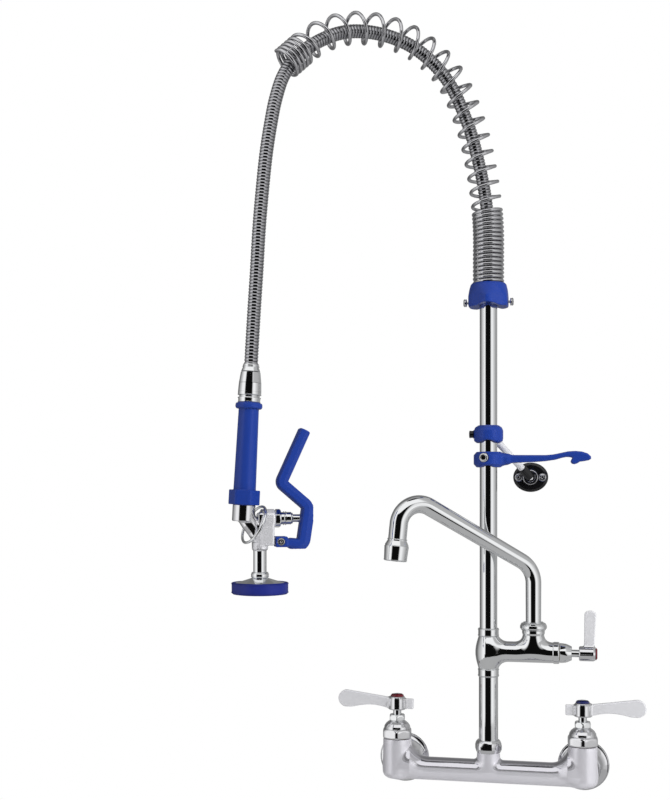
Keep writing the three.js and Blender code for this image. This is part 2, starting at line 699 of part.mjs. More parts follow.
function sideCartridge() {
  const r = 8;
  const bore = SIDE_STEM_OD / 2 + RUNNING;
  return alongX(sleeve(
    [[0, ADD_ON_REACH - 15.5], [r, ADD_ON_REACH - 15.5], [r, SIDE_CARTRIDGE_END]],
    [[bore, SIDE_CARTRIDGE_END], [bore, SIDE_STEM_START - SEAT], [0, SIDE_STEM_START - SEAT]],
    SMALL,
  ));
}

function sideBonnet() {
  const start = ADD_ON_REACH + SEAT;
  const r = ADD_ON_ARM_OD / 2;
  const bore = SIDE_STEM_OD / 2 + RUNNING;
  const room = SIDE_CARTRIDGE_END + SEAT;
  return alongX(sleeve(
    [[r, start], [r, start + 1.2], [r * 0.9, start + 6], [r * 0.66, SIDE_BONNET_END - 1],
      [r * 0.58, SIDE_BONNET_END]],
    [[bore, SIDE_BONNET_END], [bore, room], [8 + SEAT, room], [8 + SEAT, start]],
    ROUND,
  ));
}

function sideLever() {
  const r = SIDE_HUB_OD / 2;
  const hub = alongX(turned([
    [0, SIDE_HUB_START], [r - 0.7, SIDE_HUB_START], [r, SIDE_HUB_START + 0.7], [r, SIDE_HUB_END - 1.8],
    [r - 1, SIDE_HUB_END], [0, SIDE_HUB_END],
  ], MEDIUM));
  const half = SIDE_LEVER_WIDTH / 2;
  const outline = new THREE.Shape();
  outline.moveTo(-half + 0.4, 2);
  outline.lineTo(-half + 0.4, SIDE_LEVER_REACH * 0.6);
  outline.lineTo(-half, SIDE_LEVER_REACH - half * 0.7);
  outline.absellipse(0, SIDE_LEVER_REACH - half * 0.7, half, half * 0.7, Math.PI, 0, true);
  outline.lineTo(half - 0.4, SIDE_LEVER_REACH * 0.6);
  outline.lineTo(half - 0.4, 2);
  const blade = plate(outline, 5, 1.1, 3)
    .rotateY(radians(2)).translate(SIDE_HUB_START + SIDE_HUB_LENGTH * 0.6, 0, 0);
  return cut(
    joined(hub, blade),
    alongX(lathed(SIDE_STEM_OD / 2 + SEAT, SIDE_HUB_START - 1, SIDE_STEM_END + SEAT, SMALL)),
    alongX(lathed(r - 1.6, SIDE_HUB_END - 1.6, SIDE_HUB_END + 1, SMALL)),
  );
}

function sideIndex() {
  const r = SIDE_HUB_OD / 2 - 1.6 - SEAT;
  const low = SIDE_HUB_END - 1.6 + SEAT;
  return alongX(turned([[0, low], [r, low], [r, SIDE_HUB_END + 0.8], [r - 1, SIDE_HUB_END + 1.4],
    [0, SIDE_HUB_END + 1.6]], SMALL));
}

function sideValve() {
  const stem = alongX(lathed(SIDE_STEM_OD / 2, SIDE_STEM_START, SIDE_STEM_END, SMALL));
  return assembly(
    [0, 0, ADD_ON_AXIS],
    part('spout_valve_cartridge', sideCartridge(), BRASS),
    part('spout_valve_bonnet', sideBonnet(), CHROME),
    part('spout_valve_stem', stem, CHROME),
    part('spout_valve_lever', sideLever(), PALE),
    part('spout_valve_index', sideIndex(), RED),
  );
}

// ---------------------------------------------------------------- the swing spout

// Along the spout's own plane: reach from its axis, and height.
const LOW_CORNER = ADD_ON_AXIS + SPOUT_LOW_CORNER;
const HIGH_CORNER = LOW_CORNER + SPOUT_REACH * Math.tan(radians(SPOUT_SLOPE));
const TIP_DROP = at(Math.sin(radians(SPOUT_TIP_LEAN)), 0, -Math.cos(radians(SPOUT_TIP_LEAN)));
const TIP = at(SPOUT_REACH, 0, HIGH_CORNER).addScaledVector(TIP_DROP, SPOUT_TIP_LENGTH);

function spoutTube() {
  const line = bentLine([
    [0, SPOUT_FOOT], [0, LOW_CORNER, SPOUT_FOOT_BEND], [SPOUT_REACH, HIGH_CORNER, SPOUT_TIP_BEND],
    [TIP.x, TIP.z],
  ]);
  const end = line.pop();
  const bendEnd = line[line.length - 1].clone();
  line.push(bendEnd.clone().lerp(end, 0.35), bendEnd.lerp(end, 0.6), end);
  const widthAt = (i) => (i >= line.length - 2 ? SPOUT_SWAGE_OD : SPOUT_OD);
  const wall = SPOUT_OD - SPOUT_BORE;
  const skin = swept(line, (point, side, up, i) => ring(point, side, up, widthAt(i), widthAt(i), MEDIUM));
  const core = line.map((point) => point.clone());
  core[0].z -= 1;
  core[core.length - 1].addScaledVector(TIP_DROP, 1);
  const boreAt = (i) => widthAt(i) - wall;
  const bore = swept(core, (point, side, up, i) => ring(point, side, up, boreAt(i), boreAt(i), 6));
  return cut(skin, bore);
}

function aeratorShell() {
  const r = AERATOR_OD / 2;
  const neck = SPOUT_SWAGE_OD / 2;
  const outer = [[r - 1.2, 0], [r - 0.5, 0.8], [r, AERATOR_HEIGHT - 4.6], [neck + 0.4, AERATOR_HEIGHT - 2.2],
    [neck + 0.2, AERATOR_HEIGHT]];
  const bore = [[neck - 3, AERATOR_HEIGHT], [neck - 3, 3], [r - 3, 3], [r - 3, 0]];
  return sleeve(outer, bore, MEDIUM);
}

function swingSpout() {
  const aerator = part('aerator', aeratorShell(), CHROME);
  const seat = TIP.clone().addScaledVector(TIP_DROP, SEAT + AERATOR_HEIGHT);
  aerator.position.copy(seat);
  aerator.rotation.y = -radians(SPOUT_TIP_LEAN);
  const spout = assembly([OUTLET_REACH, 0, 0], part('spout', spoutTube(), CHROME), aerator);
  spout.rotation.z = Math.PI + radians(SPOUT_PARKED);
  const r = SPOUT_NUT_OD / 2;
  const low = OUTLET_TOP + SEAT;
  const high = low + SPOUT_NUT_HEIGHT;
  const room = SPOUT_OD / 2 + RUNNING;
  const ringNut = part('spout_nut', sleeve(
    [[r - 1.6, low], [r, low + 2], [r, high - 3], [r - 1.6, high - 1], [r - 4, high]],
    [[room, high], [room, low]],
    ROUND,
  ), CHROME);
  ringNut.position.x = OUTLET_REACH;
  return [spout, ringNut];
}

// ---------------------------------------------------------------- the wall bracket

const ROD_TOP = at(0, 0, CLAMP_BOTTOM + 12); // where the rod's line meets the riser's axis
const ROD_FOOT = at(BRACKET_FLANGE_AT[0] - 2, WALL_TO_RISER - 8.5, BRACKET_FLANGE_AT[1] + 2);
const ROD_LINE = ROD_FOOT.clone().sub(ROD_TOP).normalize();

function clampBody() {
  const r = CLAMP_OD / 2;
  const low = CLAMP_BOTTOM;
  const high = low + CLAMP_HEIGHT;
  const barrel = turned([
    [0, low], [r - 3, low], [r, low + 4], [r, high - 5], [r - 1.4, high - 1.6], [r - 5, high], [0, high],
  ], ROUND);
  const archRadius = r * 0.85;
  const arch = bar(at(0, -r - 1, low - archRadius + CLAMP_ARCH), at(0, r + 1, low - archRadius + CLAMP_ARCH),
    2 * archRadius, ROUND);
  return cut(
    barrel,
    arch,
    lathed(RISER_ROOM, low - 1, high + 1, ROUND),
    bar(at(-r - 2, 0, low + CLAMP_HEIGHT / 2), at(0, 0, low + CLAMP_HEIGHT / 2), 5.4, TINY),
    bar(ROD_TOP, ROD_FOOT, ROD_OD + 2 * SEAT, SMALL),
  );
}

function bracketRod() {
  const fromAxis = RISER_OD / 2 + 3;
  const start = ROD_TOP.clone().addScaledVector(ROD_LINE, fromAxis / Math.hypot(ROD_LINE.x, ROD_LINE.y));
  const end = ROD_FOOT.clone().addScaledVector(ROD_LINE, ROD_OD);
  const front = WALL_TO_RISER - BRACKET_FLANGE_THICK - SEAT - BRACKET_HUB_DEPTH - SEAT;
  const reach = 3 * ROD_OD;
  return cut(bar(start, end, ROD_OD, SMALL), block(
    [ROD_FOOT.x - reach, front, ROD_FOOT.z - reach],
    [ROD_FOOT.x + reach, front + reach, ROD_FOOT.z + reach],
  ));
}

// An oval plate against the wall, with a threaded hub in the middle and a screw at each side.
function bracketFlange() {
  const [width, height] = BRACKET_FLANGE_SIZE;
  const ovals = [[1, 0], [1, 0.6], [0.93, 1]];
  const sides = 24;
  const rings = ovals.map(([scale, depth]) => ring(
    at(0, -BRACKET_FLANGE_THICK * depth, 0), at(1, 0, 0), at(0, 0, 1), width * scale, height * scale, sides,
  ));
  const hole = (x) => bar(at(x, -BRACKET_FLANGE_THICK - 1, 0), at(x, 1, 0), 4.6, TINY);
  return cut(lofted(rings), hole(-BRACKET_SCREW_SPREAD), hole(BRACKET_SCREW_SPREAD));
}

function flangeScrew() {
  const head = BRACKET_FLANGE_THICK + SEAT;
  return toViewer(turned([
    [0, 0], [2, 0], [2, head], [4.4, head], [3.8, head + 1.6], [0, head + 2.2],
  ], TINY));
}

function wallBracket() {
  const [x, z] = BRACKET_FLANGE_AT;
  const clampMiddle = CLAMP_BOTTOM + CLAMP_HEIGHT / 2;
  const r = CLAMP_OD / 2;
  const screw = alongX(turned([
    [0, -r - 4.4], [3.7, -r - 4.4], [3.9, -r - 0.2], [2.4, -r - 0.2], [2.4, -RISER_OD / 2 - SEAT],
    [0, -RISER_OD / 2 - SEAT],
  ], TINY)).translate(0, 0, clampMiddle);
  const hubRadius = BRACKET_HUB_OD / 2;
  const hubLow = BRACKET_FLANGE_THICK + SEAT;
  const hub = toViewer(turned([
    [0, hubLow], [hubRadius, hubLow], [hubRadius, hubLow + BRACKET_HUB_DEPTH * 0.6],
    [hubRadius - 0.8, hubLow + BRACKET_HUB_DEPTH], [0, hubLow + BRACKET_HUB_DEPTH],
  ], MEDIUM));
  return [
    part('bracket_clamp', clampBody(), BLUE),
    part('bracket_clamp_screw', screw, BLACK),
    part('bracket_rod', bracketRod(), PALE),
    assembly(
      [x, WALL_TO_RISER, z],
      part('bracket_wall_flange', bracketFlange(), BLACK),
      part('bracket_hub', hub, STEEL),
      part('bracket_screw_left', flangeScrew().translate(-BRACKET_SCREW_SPREAD, 0, 0), STEEL),
      part('bracket_screw_right', flangeScrew().translate(BRACKET_SCREW_SPREAD, 0, 0), STEEL),
    ),
  ];
}

// ---------------------------------------------------------------- the finger hook

// The arm's outline from the front: level, then up and over to a blunt nose with a barb below it. Its
// places are shares of the finger's reach and of its rise.
function hookOutline() {
  const place = (along, up) => [along * HOOK_REACH, up * HOOK_RISE];
  const outline = new THREE.Shape();
  outline.moveTo(...place(0.072, -0.63));
  outline.lineTo(...place(0.163, -0.45));
  outline.lineTo(...place(0.452, -0.326));
  outline.bezierCurveTo(...place(0.561, -0.247), ...place(0.651, -0.157), ...place(0.714, 0.157));
  outline.bezierCurveTo(...place(0.76, 0.292), ...place(0.796, 0.247), ...place(0.823, 0.135));
  outline.bezierCurveTo(...place(0.805, -0.067), ...place(0.792, -0.404), ...place(0.819, -0.584));
  outline.bezierCurveTo(...place(0.854, -0.652), ...place(0.877, -0.404), ...place(0.892, -0.303));
  outline.bezierCurveTo(...place(0.94, -0.247), ...place(1.004, -0.135), ...place(1, 0.18));
  outline.bezierCurveTo(...place(0.996, 0.607), ...place(0.931, 1), ...place(0.844, 1));
  outline.bezierCurveTo(...place(0.723, 1), ...place(0.687, 0.551), ...place(0.561, 0.517));
  outline.lineTo(...place(0.163, 0.562));
  outline.lineTo(...place(0.072, 0.719));
  return outline;
}

function fingerHook() {
  const r = CLAMP_OD / 2;
  const half = HOOK_CLAMP_HEIGHT / 2;
  const barrel = turned([
    [0, -half], [r - 2.6, -half], [r, -half + 3.6], [r, half - 3.6], [r - 2.6, half], [0, half],
  ], ROUND);
  const shoulder = lofted([
    ring(at(8, 0, 0), ACROSS, at(0, 0, 1), 20, 16.4, TINY),
    ring(at(r + 1, 0, 0), ACROSS, at(0, 0, 1), 15, 12.5, TINY),
    ring(at(r + 7, 0, 0.4), ACROSS, at(0, 0, 1), HOOK_DEPTH, 9, TINY),
  ]);
  const arm = plate(hookOutline(), HOOK_DEPTH, 1.8, 2);
  const archRadius = r * 0.85;
  const archDrop = half + archRadius - 2;
  const turn = radians(HOOK_SCREW_TURN);
  const out = at(Math.sin(turn), -Math.cos(turn), 0);
  const screwRoom = HOOK_SCREW_OD + 2 * SEAT;
  return cut(
    joined(barrel, shoulder, arm),
    bar(at(0, -r - 1, -archDrop), at(0, r + 1, -archDrop), 2 * archRadius, ROUND),
    lathed(RISER_ROOM, -half - 1, half + 1, ROUND),
    bar(at(0, 0, 2), out.clone().multiplyScalar(r + 4).add(at(0, 0, 2)), screwRoom, SMALL),
  );
}

// A round set screw with a six-sided socket, on the front of the hook's clamp.
function hookSetScrew() {
  const r = HOOK_SCREW_OD / 2;
  const start = RISER_OD / 2 + 0.6;
  const end = CLAMP_OD / 2 + 1.6;
  const body = turned([
    [0, start], [r - 0.6, start], [r, start + 0.6], [r, end - 0.8], [r - 0.8, end], [0, end],
  ], SMALL);
  const socket = lathed(2.9, end - 3.2, end + 1, 6);
  const turn = radians(HOOK_SCREW_TURN);
  return toViewer(cut(body, socket)).rotateZ(turn).translate(0, 0, 2);
}

function hookPieces() {
  return assembly(
    [0, 0, HOOK_MIDDLE],
    part('finger_hook', fingerHook(), BLUE),
    part('hook_set_screw', hookSetScrew(), CHROME),
  );
}

// ---------------------------------------------------------------- the spring's collar

const COLLAR_BOTTOM = RISER_TOP - COLLAR_LAP;
const COIL_FLOOR = COLLAR_BOTTOM + COLLAR_FLOOR;

function springCollar() {
  const r = COLLAR_OD / 2;
  const low = COLLAR_BOTTOM;
  const high = low + COLLAR_HEIGHT;
  const coilRoom = COIL_OD / 2 + 0.5;
  const pipeRoom = RISER_ROOM;
  const shell = sleeve(
    [[r - 1.6, low], [r - 0.2, low + 1.4], [r, low + 16.6], [r - 1, low + 24], [r - 2.4, high - 1.8],
      [coilRoom + 0.4, high]],
    [[coilRoom, high], [coilRoom, COIL_FLOOR], [pipeRoom, COIL_FLOOR], [pipeRoom, low + 2.6],
      [pipeRoom + 3, low]],
    LARGE,
  );
  const screwLine = low + THUMB_SCREW_RISE;
  return cut(shell, bar(at(-r - 1, 0, screwLine), at(r + 1, 0, screwLine), 3.8, TINY));
}

function thumbScrew(name, hand) {
  const start = RISER_OD / 2 + SEAT;
  const neck = COLLAR_OD / 2 + 2.6;
  const head = THUMB_HEAD_OD / 2;
  const screw = alongX(turned([
    [0, start], [1.5, start], [1.5, neck], [head, neck], [head, neck + 1.8], [head - 0.6, neck + 2.4],
    [0, neck + 2.4],
  ], TINY));
  if (hand < 0) {
    screw.rotateZ(Math.PI);
  }
  return part(name, screw.translate(0, 0, COLLAR_BOTTOM + THUMB_SCREW_RISE), STEEL);
}

// ---------------------------------------------------------------- the overhead spring

const COIL_START = COIL_FLOOR + SEAT + WIRE / 2;

// The spring's centreline in the arch's plane, as [along the arch, above the riser's top]: plumb through
// the collar, then up, over and down to the left.
const inArch = ([x, rise]) => at(x, 0, RISER_TOP + rise);
const SPRING_ROUTE = [
  [0, COIL_START - RISER_TOP], [0, 30], [0, 60], [-1.8, 86.5], [-9.3, 132.6], [-22.5, 179.2],
  [-47.8, 226.9], [-85.7, 255.4], [-126.9, 265.9], [-168.8, 262.5], [-203.6, 246.2], [-236.4, 217.5],
];
const springLine = new THREE.CatmullRomCurve3(SPRING_ROUTE.map(inArch), false, 'centripetal');
springLine.arcLengthDivisions = 600;

// The spring: tight turns, then open ones whose pitch grows steadily, then a tight block at the mouth.
function overheadSpring() {
  const stepsPerTurn = 8;
  const sides = 5;
  const length = springLine.getLength();
  const openLength = length - TIGHT_TURNS * TIGHT_PITCH - END_TURNS * END_PITCH;
  const turns = TIGHT_TURNS + OPEN_TURNS + END_TURNS;
  const travelled = (turn) => {
    if (turn <= TIGHT_TURNS) {
      return turn * TIGHT_PITCH;
    }
    const opened = Math.min(turn - TIGHT_TURNS, OPEN_TURNS) / OPEN_TURNS;
    const open = (openLength * (OPEN_GROWTH ** opened - 1)) / (OPEN_GROWTH - 1);
    return TIGHT_TURNS * TIGHT_PITCH + open + Math.max(0, turn - TIGHT_TURNS - OPEN_TURNS) * END_PITCH;
  };
  const radius = (COIL_OD - WIRE) / 2;
  const spokes = [];
  const centres = Array.from({ length: turns * stepsPerTurn + 1 }, (_, i) => {
    const turn = i / stepsPerTurn;
    const share = travelled(turn) / length;
    const heading = springLine.getTangentAt(share);
    const spoke = ACROSS.clone().cross(heading).multiplyScalar(Math.cos(2 * Math.PI * turn))
      .addScaledVector(ACROSS, Math.sin(2 * Math.PI * turn));
    spokes.push(spoke);
    return springLine.getPointAt(share).addScaledVector(spoke, radius);
  });
  const directions = headings(centres);
  const rings = centres.map((centre, i) => {
    const side = spokes[i].clone().addScaledVector(directions[i], -spokes[i].dot(directions[i])).normalize();
    return ring(centre, side, directions[i].clone().cross(side), WIRE, WIRE, sides);
  });
  let least = Infinity;
  centres.forEach((centre, i) => {
    for (let j = i + stepsPerTurn - 2; j < Math.min(centres.length, i + 3 * stepsPerTurn); j += 1) {
      const from = centres[j - 1];
      const to = centres[j];
      const near = new THREE.Line3(from, to).closestPointToPoint(centre, true, at(0, 0, 0));
      least = Math.min(least, near.distanceTo(centre) - WIRE);
    }
  });
  console.log(`overhead_spring: least gap to itself ${least.toFixed(2)} mm over ${turns} turns`);
  return part('overhead_spring', lofted(rings), STEEL);
}

// ---------------------------------------------------------------- the hose

const HOSE_START = RISER_TOP + SEAT + HOSE_FITTING_LENGTH + SEAT;
const LEAN_AXIS = at(Math.sin(radians(GRIP_LEAN)), 0, Math.cos(radians(GRIP_LEAN)))
  .applyAxisAngle(at(0, 0, 1), radians(SPRAY_TURN - ARCH_SWING));
const GRIP_FOOT = inArch(SPRAY_AT);
const alongGrip = (distance) => GRIP_FOOT.clone().addScaledVector(LEAN_AXIS, distance);
const FERRULE_TOP = GRIP_LENGTH + SEAT + FERRULE_LENGTH;
const HOSE_END = alongGrip(FERRULE_TOP + SEAT);
const HOSE_END_STRAIGHT = alongGrip(FERRULE_TOP + SEAT + HOSE_OD);

// The hose's centreline, given as the spring's is: up through the spring, over, and down to the spray
// valve.
const HOSE_RISE = HOSE_START - RISER_TOP;
const HOSE_ROUTE = [
  [0, HOSE_RISE], [0, HOSE_RISE + HOSE_OD], [0, 60], [-3.4, 97.5], [-12.9, 140.1], [-26.9, 181.4],
  [-51.6, 224.2], [-87.5, 251.7], [-127.9, 262.2], [-167.9, 259.5], [-200.8, 244.6], [-225.7, 223.4],
  [-238.7, 204.1], [-247, 179.2], [-252, 155], [-257, 123.7], [-261, 87.4], [-264.6, 46.8],
  [-267.3, 2.1], [-270, -38.2],
];
const hoseLine = new THREE.CatmullRomCurve3(
  [...HOSE_ROUTE.map(inArch), HOSE_END_STRAIGHT, HOSE_END],
  false,
  'centripetal',
);
hoseLine.arcLengthDivisions = 800;

// A ribbed hose with a smooth bore. Each rib is a valley ring and a crest ring.
function ribbedHose() {
  const sides = 8;
  const length = hoseLine.getLength();
  const cuff = HOSE_OD / 2;
  const pitch = (length - 2 * cuff) / HOSE_RIBS;
  const hoop = (distance, diameter) => {
    const share = Math.min(1, distance / length);
    const heading = hoseLine.getTangentAt(share);
    const across = ACROSS.clone().cross(heading).normalize();
    const up = heading.clone().cross(across);
    return ring(hoseLine.getPointAt(share), across, up, diameter, diameter, sides);
  };
  const outer = [hoop(0, HOSE_VALLEY)];
  const inner = [hoop(0, HOSE_BORE)];
  for (let i = 0; i < HOSE_RIBS; i += 1) {
    outer.push(hoop(cuff + i * pitch, HOSE_VALLEY), hoop(cuff + (i + 0.5) * pitch, HOSE_OD));
    if (i % 5 === 0) {
      inner.push(hoop(cuff + i * pitch, HOSE_BORE));
    }
  }
  outer.push(hoop(length - cuff, HOSE_VALLEY), hoop(length, HOSE_VALLEY));
  inner.push(hoop(length, HOSE_BORE));
  const faces = [];
  const quad = (a, b, c, d) => faces.push(a, b, c, a, c, d);
  const skin = (rings, offset, outward) => {
    for (let i = 0; i < rings.length - 1; i += 1) {
      for (let j = 0; j < sides; j += 1) {
        const k = (j + 1) % sides;
        const here = offset + i * sides;
        const next = here + sides;
        if (outward) {
          quad(here + j, here + k, next + k, next + j);
        } else {
          quad(here + j, next + j, next + k, here + k);
        }
      }
    }
  };
  const innerStart = outer.length * sides;
  const outerLast = innerStart - sides;
  const innerLast = innerStart + (inner.length - 1) * sides;
  skin(outer, 0, true);
  skin(inner, innerStart, false);
  for (let j = 0; j < sides; j += 1) {
    const k = (j + 1) % sides;
    quad(j, innerStart + j, innerStart + k, k);
    quad(outerLast + j, outerLast + k, innerLast + k, innerLast + j);
  }
  const geometry = new THREE.BufferGeometry().setFromPoints([...outer, ...inner].flat());
  geometry.setIndex(faces);
  console.log(`flexible_hose: ${length.toFixed(0)} mm long, rib pitch ${pitch.toFixed(2)} mm`);
  return part('flexible_hose', geometry, STEEL);
}

function hoseTopFitting() {
  const low = RISER_TOP + SEAT;
  const high = low + HOSE_FITTING_LENGTH;
  const bore = HOSE_BORE / 2;
  return part('hose_top_fitting', sleeve(
    [[RISER_OD / 2 - 0.4, low], [RISER_OD / 2, low + 0.8], [RISER_OD / 2, low + 6],
      [HOSE_OD / 2 + 0.6, low + 7.5], [HOSE_OD / 2 + 0.6, high]],
    [[bore, high], [bore, low]],
    MEDIUM,
  ), CHROME);
}

// ---------------------------------------------------------------- grip and ferrule of the spray valve

function handGrip() {
  const foot = GRIP_FOOT_OD / 2;
  const top = GRIP_TOP_OD / 2;
  const rim = GRIP_RING_OD / 2;
  const ringLow = GRIP_LENGTH - GRIP_RING_HEIGHT;
  const tube = turned([
    [0, 1], [foot, 1], [foot, GRIP_HEX_HEIGHT], [top, ringLow + 0.5], [rim - 1.3, ringLow + 0.5],
    [rim, ringLow + 2.3], [rim - 0.2, GRIP_LENGTH - 1.8], [rim - 1.8, GRIP_LENGTH], [0, GRIP_LENGTH],
  ], ROUND);
  const hex = nut(GRIP_HEX_FLATS, GRIP_HEX_HEIGHT, 4, 0.9);
  return cut(joined(tube, hex), lathed(HOSE_BORE / 2, -1, GRIP_LENGTH + 1, SMALL));
}

// A swaged ferrule over the hose's end: round-shouldered, with a swivel ring below a groove.
function hoseFerrule() {
  const low = GRIP_LENGTH + SEAT;
  const r = FERRULE_OD / 2;
  const up = (share) => low + FERRULE_LENGTH * share;
  return sleeve(
    [[r - 0.8, low], [r - 0.8, up(0.12)], [r - 1.5, up(0.14)], [r - 1.5, up(0.17)], [r, up(0.19)],
      [r - 0.2, up(0.45)], [r - 2, up(0.78)], [HOSE_OD / 2 + 0.5, up(1)]],
    [[HOSE_BORE / 2, up(1)], [HOSE_BORE / 2, low]],
    ROUND,
  );
}

// ---------------------------------------------------------------- the spray valve's body

const PLUNGER_HEIGHT = -PLUNGER_DROP;
const NECK_TOP = PLUNGER_HEIGHT - NECK_DROP;
const PACKING_FACE = BLOCK_REACH + BLOCK_TO_NUT;
const PLUNGER_IN = PACKING_FACE - 5.3; // inner end of the plunger
const NUT_OUT = PACKING_FACE + SEAT + SPRAY_NUT_LENGTH;
const PLUNGER_SHOULDER = NUT_OUT + PLUNGER_SHOWS;
const PLUNGER_TIP = PLUNGER_SHOULDER + PLUNGER_TIP_LENGTH;
const RETURN_SEAT = PLUNGER_IN - RETURN_LENGTH;
const PIVOT = at(BLOCK_REACH + PIVOT_OUT, 0, PLUNGER_HEIGHT - PIVOT_DROP);

// A bar across the valve's plane, centred on the pivot.
const pivotBar = (from, to, diameter, sides) =>
  bar(PIVOT.clone().setY(from), PIVOT.clone().setY(to), diameter, sides);

// One casting: an inlet under the grip, an elbow down to the neck, a block that holds the plunger, and
// a lug for the lever.
function sprayBody() {
  const half = BLOCK_DEPTH / 2;
  const knee = at(-0.7, 0, PLUNGER_HEIGHT + 0.9);
  const low = at(NECK_REACH, 0, NECK_TOP + ELBOW_OD * 0.7);
  const stub = lathed(INLET_STUB_OD / 2, -INLET_STUB_LENGTH, -SEAT, MEDIUM).rotateY(radians(GRIP_LEAN));
  const round = new THREE.SphereGeometry(INLET_STUB_OD / 2, 10, 6).translate(knee.x, 0, knee.z);
  const elbow = bar(at(-2.6, 0, PLUNGER_HEIGHT + 4.4), low.clone().setX(low.x - 0.8), ELBOW_OD, SMALL);
  const column = turned([
    [0, NECK_TOP + 4.4], [half - 0.3, NECK_TOP + 4.4], [half, NECK_TOP + 6.2],
    [half, PLUNGER_HEIGHT - 8.8], [0, PLUNGER_HEIGHT - 5.3],
  ], SMALL).translate(BLOCK_REACH, 0, 0);
  const barrel = alongX(lathed(half, BLOCK_REACH - 5.3, PACKING_FACE, MEDIUM))
    .translate(0, 0, PLUNGER_HEIGHT);
  const web = block(
    [BLOCK_REACH - half * 0.87, -half * 0.8, NECK_TOP + 3.5],
    [BLOCK_REACH + half * 0.95, half * 0.8, PLUNGER_HEIGHT],
  );
  const collar = lathed(NECK_OD / 2 + 1.2, NECK_TOP, NECK_TOP + 5.3, SMALL).translate(NECK_REACH, 0, 0);
  const lug = joined(
    pivotBar(-LUG_THICK / 2, LUG_THICK / 2, LUG_OD, TINY),
    block(
      [BLOCK_REACH, -LUG_THICK / 2, PIVOT.z - LUG_OD * 0.38],
      [PIVOT.x, LUG_THICK / 2, PIVOT.z + LUG_OD * 0.47],
    ),
  );
  const waterway = HOSE_BORE / 2;
  const port = 2.6; // from the plunger's chamber to the neck
  const chamber = alongX(lathed(PLUNGER_OD / 2 + RUNNING, RETURN_SEAT, PACKING_FACE + 1, SMALL));
  return cut(
    joined(stub, round, elbow, column, barrel, web, collar, lug),
    bar(at(0, 0, 2), knee, HOSE_BORE, 6),
    bar(knee, low, HOSE_BORE, 6),
    lathed(waterway, NECK_TOP - 1, low.z + waterway, 6).translate(NECK_REACH, 0, 0),
    chamber.translate(0, 0, PLUNGER_HEIGHT),
    lathed(port, low.z, PLUNGER_HEIGHT, 6).translate(RETURN_SEAT + port, 0, 0),
    pivotBar(-LUG_THICK, LUG_THICK, PIVOT_SCREW_OD + 2 * RUNNING, TINY),
  );
}

// The plunger that the lever pushes in, and the coil that pushes it back out.
function plunger() {
  const r = PLUNGER_OD / 2;
  const tip = PLUNGER_TIP_OD / 2;
  return alongX(turned([
    [0, PLUNGER_IN], [r, PLUNGER_IN], [r, PLUNGER_SHOULDER - 1.3], [r - 1.3, PLUNGER_SHOULDER],
    [tip, PLUNGER_SHOULDER], [tip, PLUNGER_TIP - 1.2], [tip - 1.2, PLUNGER_TIP], [0, PLUNGER_TIP],
  ], SMALL)).translate(0, 0, PLUNGER_HEIGHT);
}

function plungerSpring() {
  const turns = 3;
  const radius = PLUNGER_OD / 2 - RETURN_WIRE;
  const start = RETURN_SEAT + SEAT + RETURN_WIRE / 2;
  const end = PLUNGER_IN - SEAT - RETURN_WIRE / 2;
  const stepsPerTurn = 6;
  const steps = turns * stepsPerTurn;
  const centres = Array.from({ length: steps + 1 }, (_, i) => {
    const angle = (2 * Math.PI * i) / stepsPerTurn;
    const across = radius * Math.cos(angle);
    return at(lerp(start, end, i / steps), across, PLUNGER_HEIGHT + radius * Math.sin(angle));
  });
  const directions = headings(centres);
  return lofted(centres.map((centre, i) => {
    const spoke = at(0, centre.y, centre.z - PLUNGER_HEIGHT).normalize();
    spoke.addScaledVector(directions[i], -spoke.dot(directions[i])).normalize();
    return ring(centre, spoke, directions[i].clone().cross(spoke), RETURN_WIRE, RETURN_WIRE, 4);
  }));
}

// ---------------------------------------------------------------- the squeeze lever

// A bent strap: from its fork round the plunger's end, in towards the grip, then up and out.
function squeezeLever() {
  const line = bentLine([
    [PIVOT.x - 0.8, PIVOT.z - 0.5],
    [PLUNGER_TIP + 0.3, PIVOT.z - 2.3, LEVER_BEND - 0.9],
    [PLUNGER_TIP + LEVER_BOW[0], PLUNGER_HEIGHT + LEVER_BOW[1], LEVER_BEND],
    [...LEVER_THROAT, LEVER_BEND],
    LEVER_TOP,
  ], 30);
  const wide = LEVER_WIDTH / 2;
  const thick = LEVER_STRAP / 2;
  const chamfer = 1.4;
  const section = (point, side, up) => [
    [wide, thick - chamfer], [wide - chamfer, thick], [chamfer - wide, thick], [-wide, thick - chamfer],
    [-wide, chamfer - thick], [chamfer - wide, -thick], [wide - chamfer, -thick], [wide, chamfer - thick],
  ].map(([a, b]) => point.clone().addScaledVector(side, a).addScaledVector(up, b));
  const eye = pivotBar(-wide, wide, LEVER_EYE_OD, SMALL);
  const slot = LUG_THICK / 2 + RUNNING;
  const floor = PIVOT.x + LEVER_EYE_OD * 0.6; // of the fork
  return cut(
    joined(swept(line, section), eye),
    block(
      [PIVOT.x - LEVER_EYE_OD, -slot, PIVOT.z - LEVER_EYE_OD],
      [floor, slot, PIVOT.z + LEVER_EYE_OD],
    ),
    pivotBar(-LEVER_WIDTH, LEVER_WIDTH, PIVOT_SCREW_OD + 2 * RUNNING, TINY),
    pivotBar(-LEVER_WIDTH, PIVOT_RECESS - wide, PIVOT_HEAD_OD + 2 * SEAT, TINY),
  );
}

function pivotScrew() {
  const r = PIVOT_SCREW_OD / 2;
  const head = PIVOT_HEAD_OD / 2;
  const half = LEVER_WIDTH / 2;
  const seat = half - PIVOT_RECESS + SEAT;
  return toViewer(turned([
    [0, -half - 0.4], [r, -half - 0.4], [r, seat], [head, seat], [head, half - 0.2], [head - 0.7, half + 0.5],
    [0, half + 0.5],
  ], TINY)).translate(PIVOT.x, 0, PIVOT.z);
}

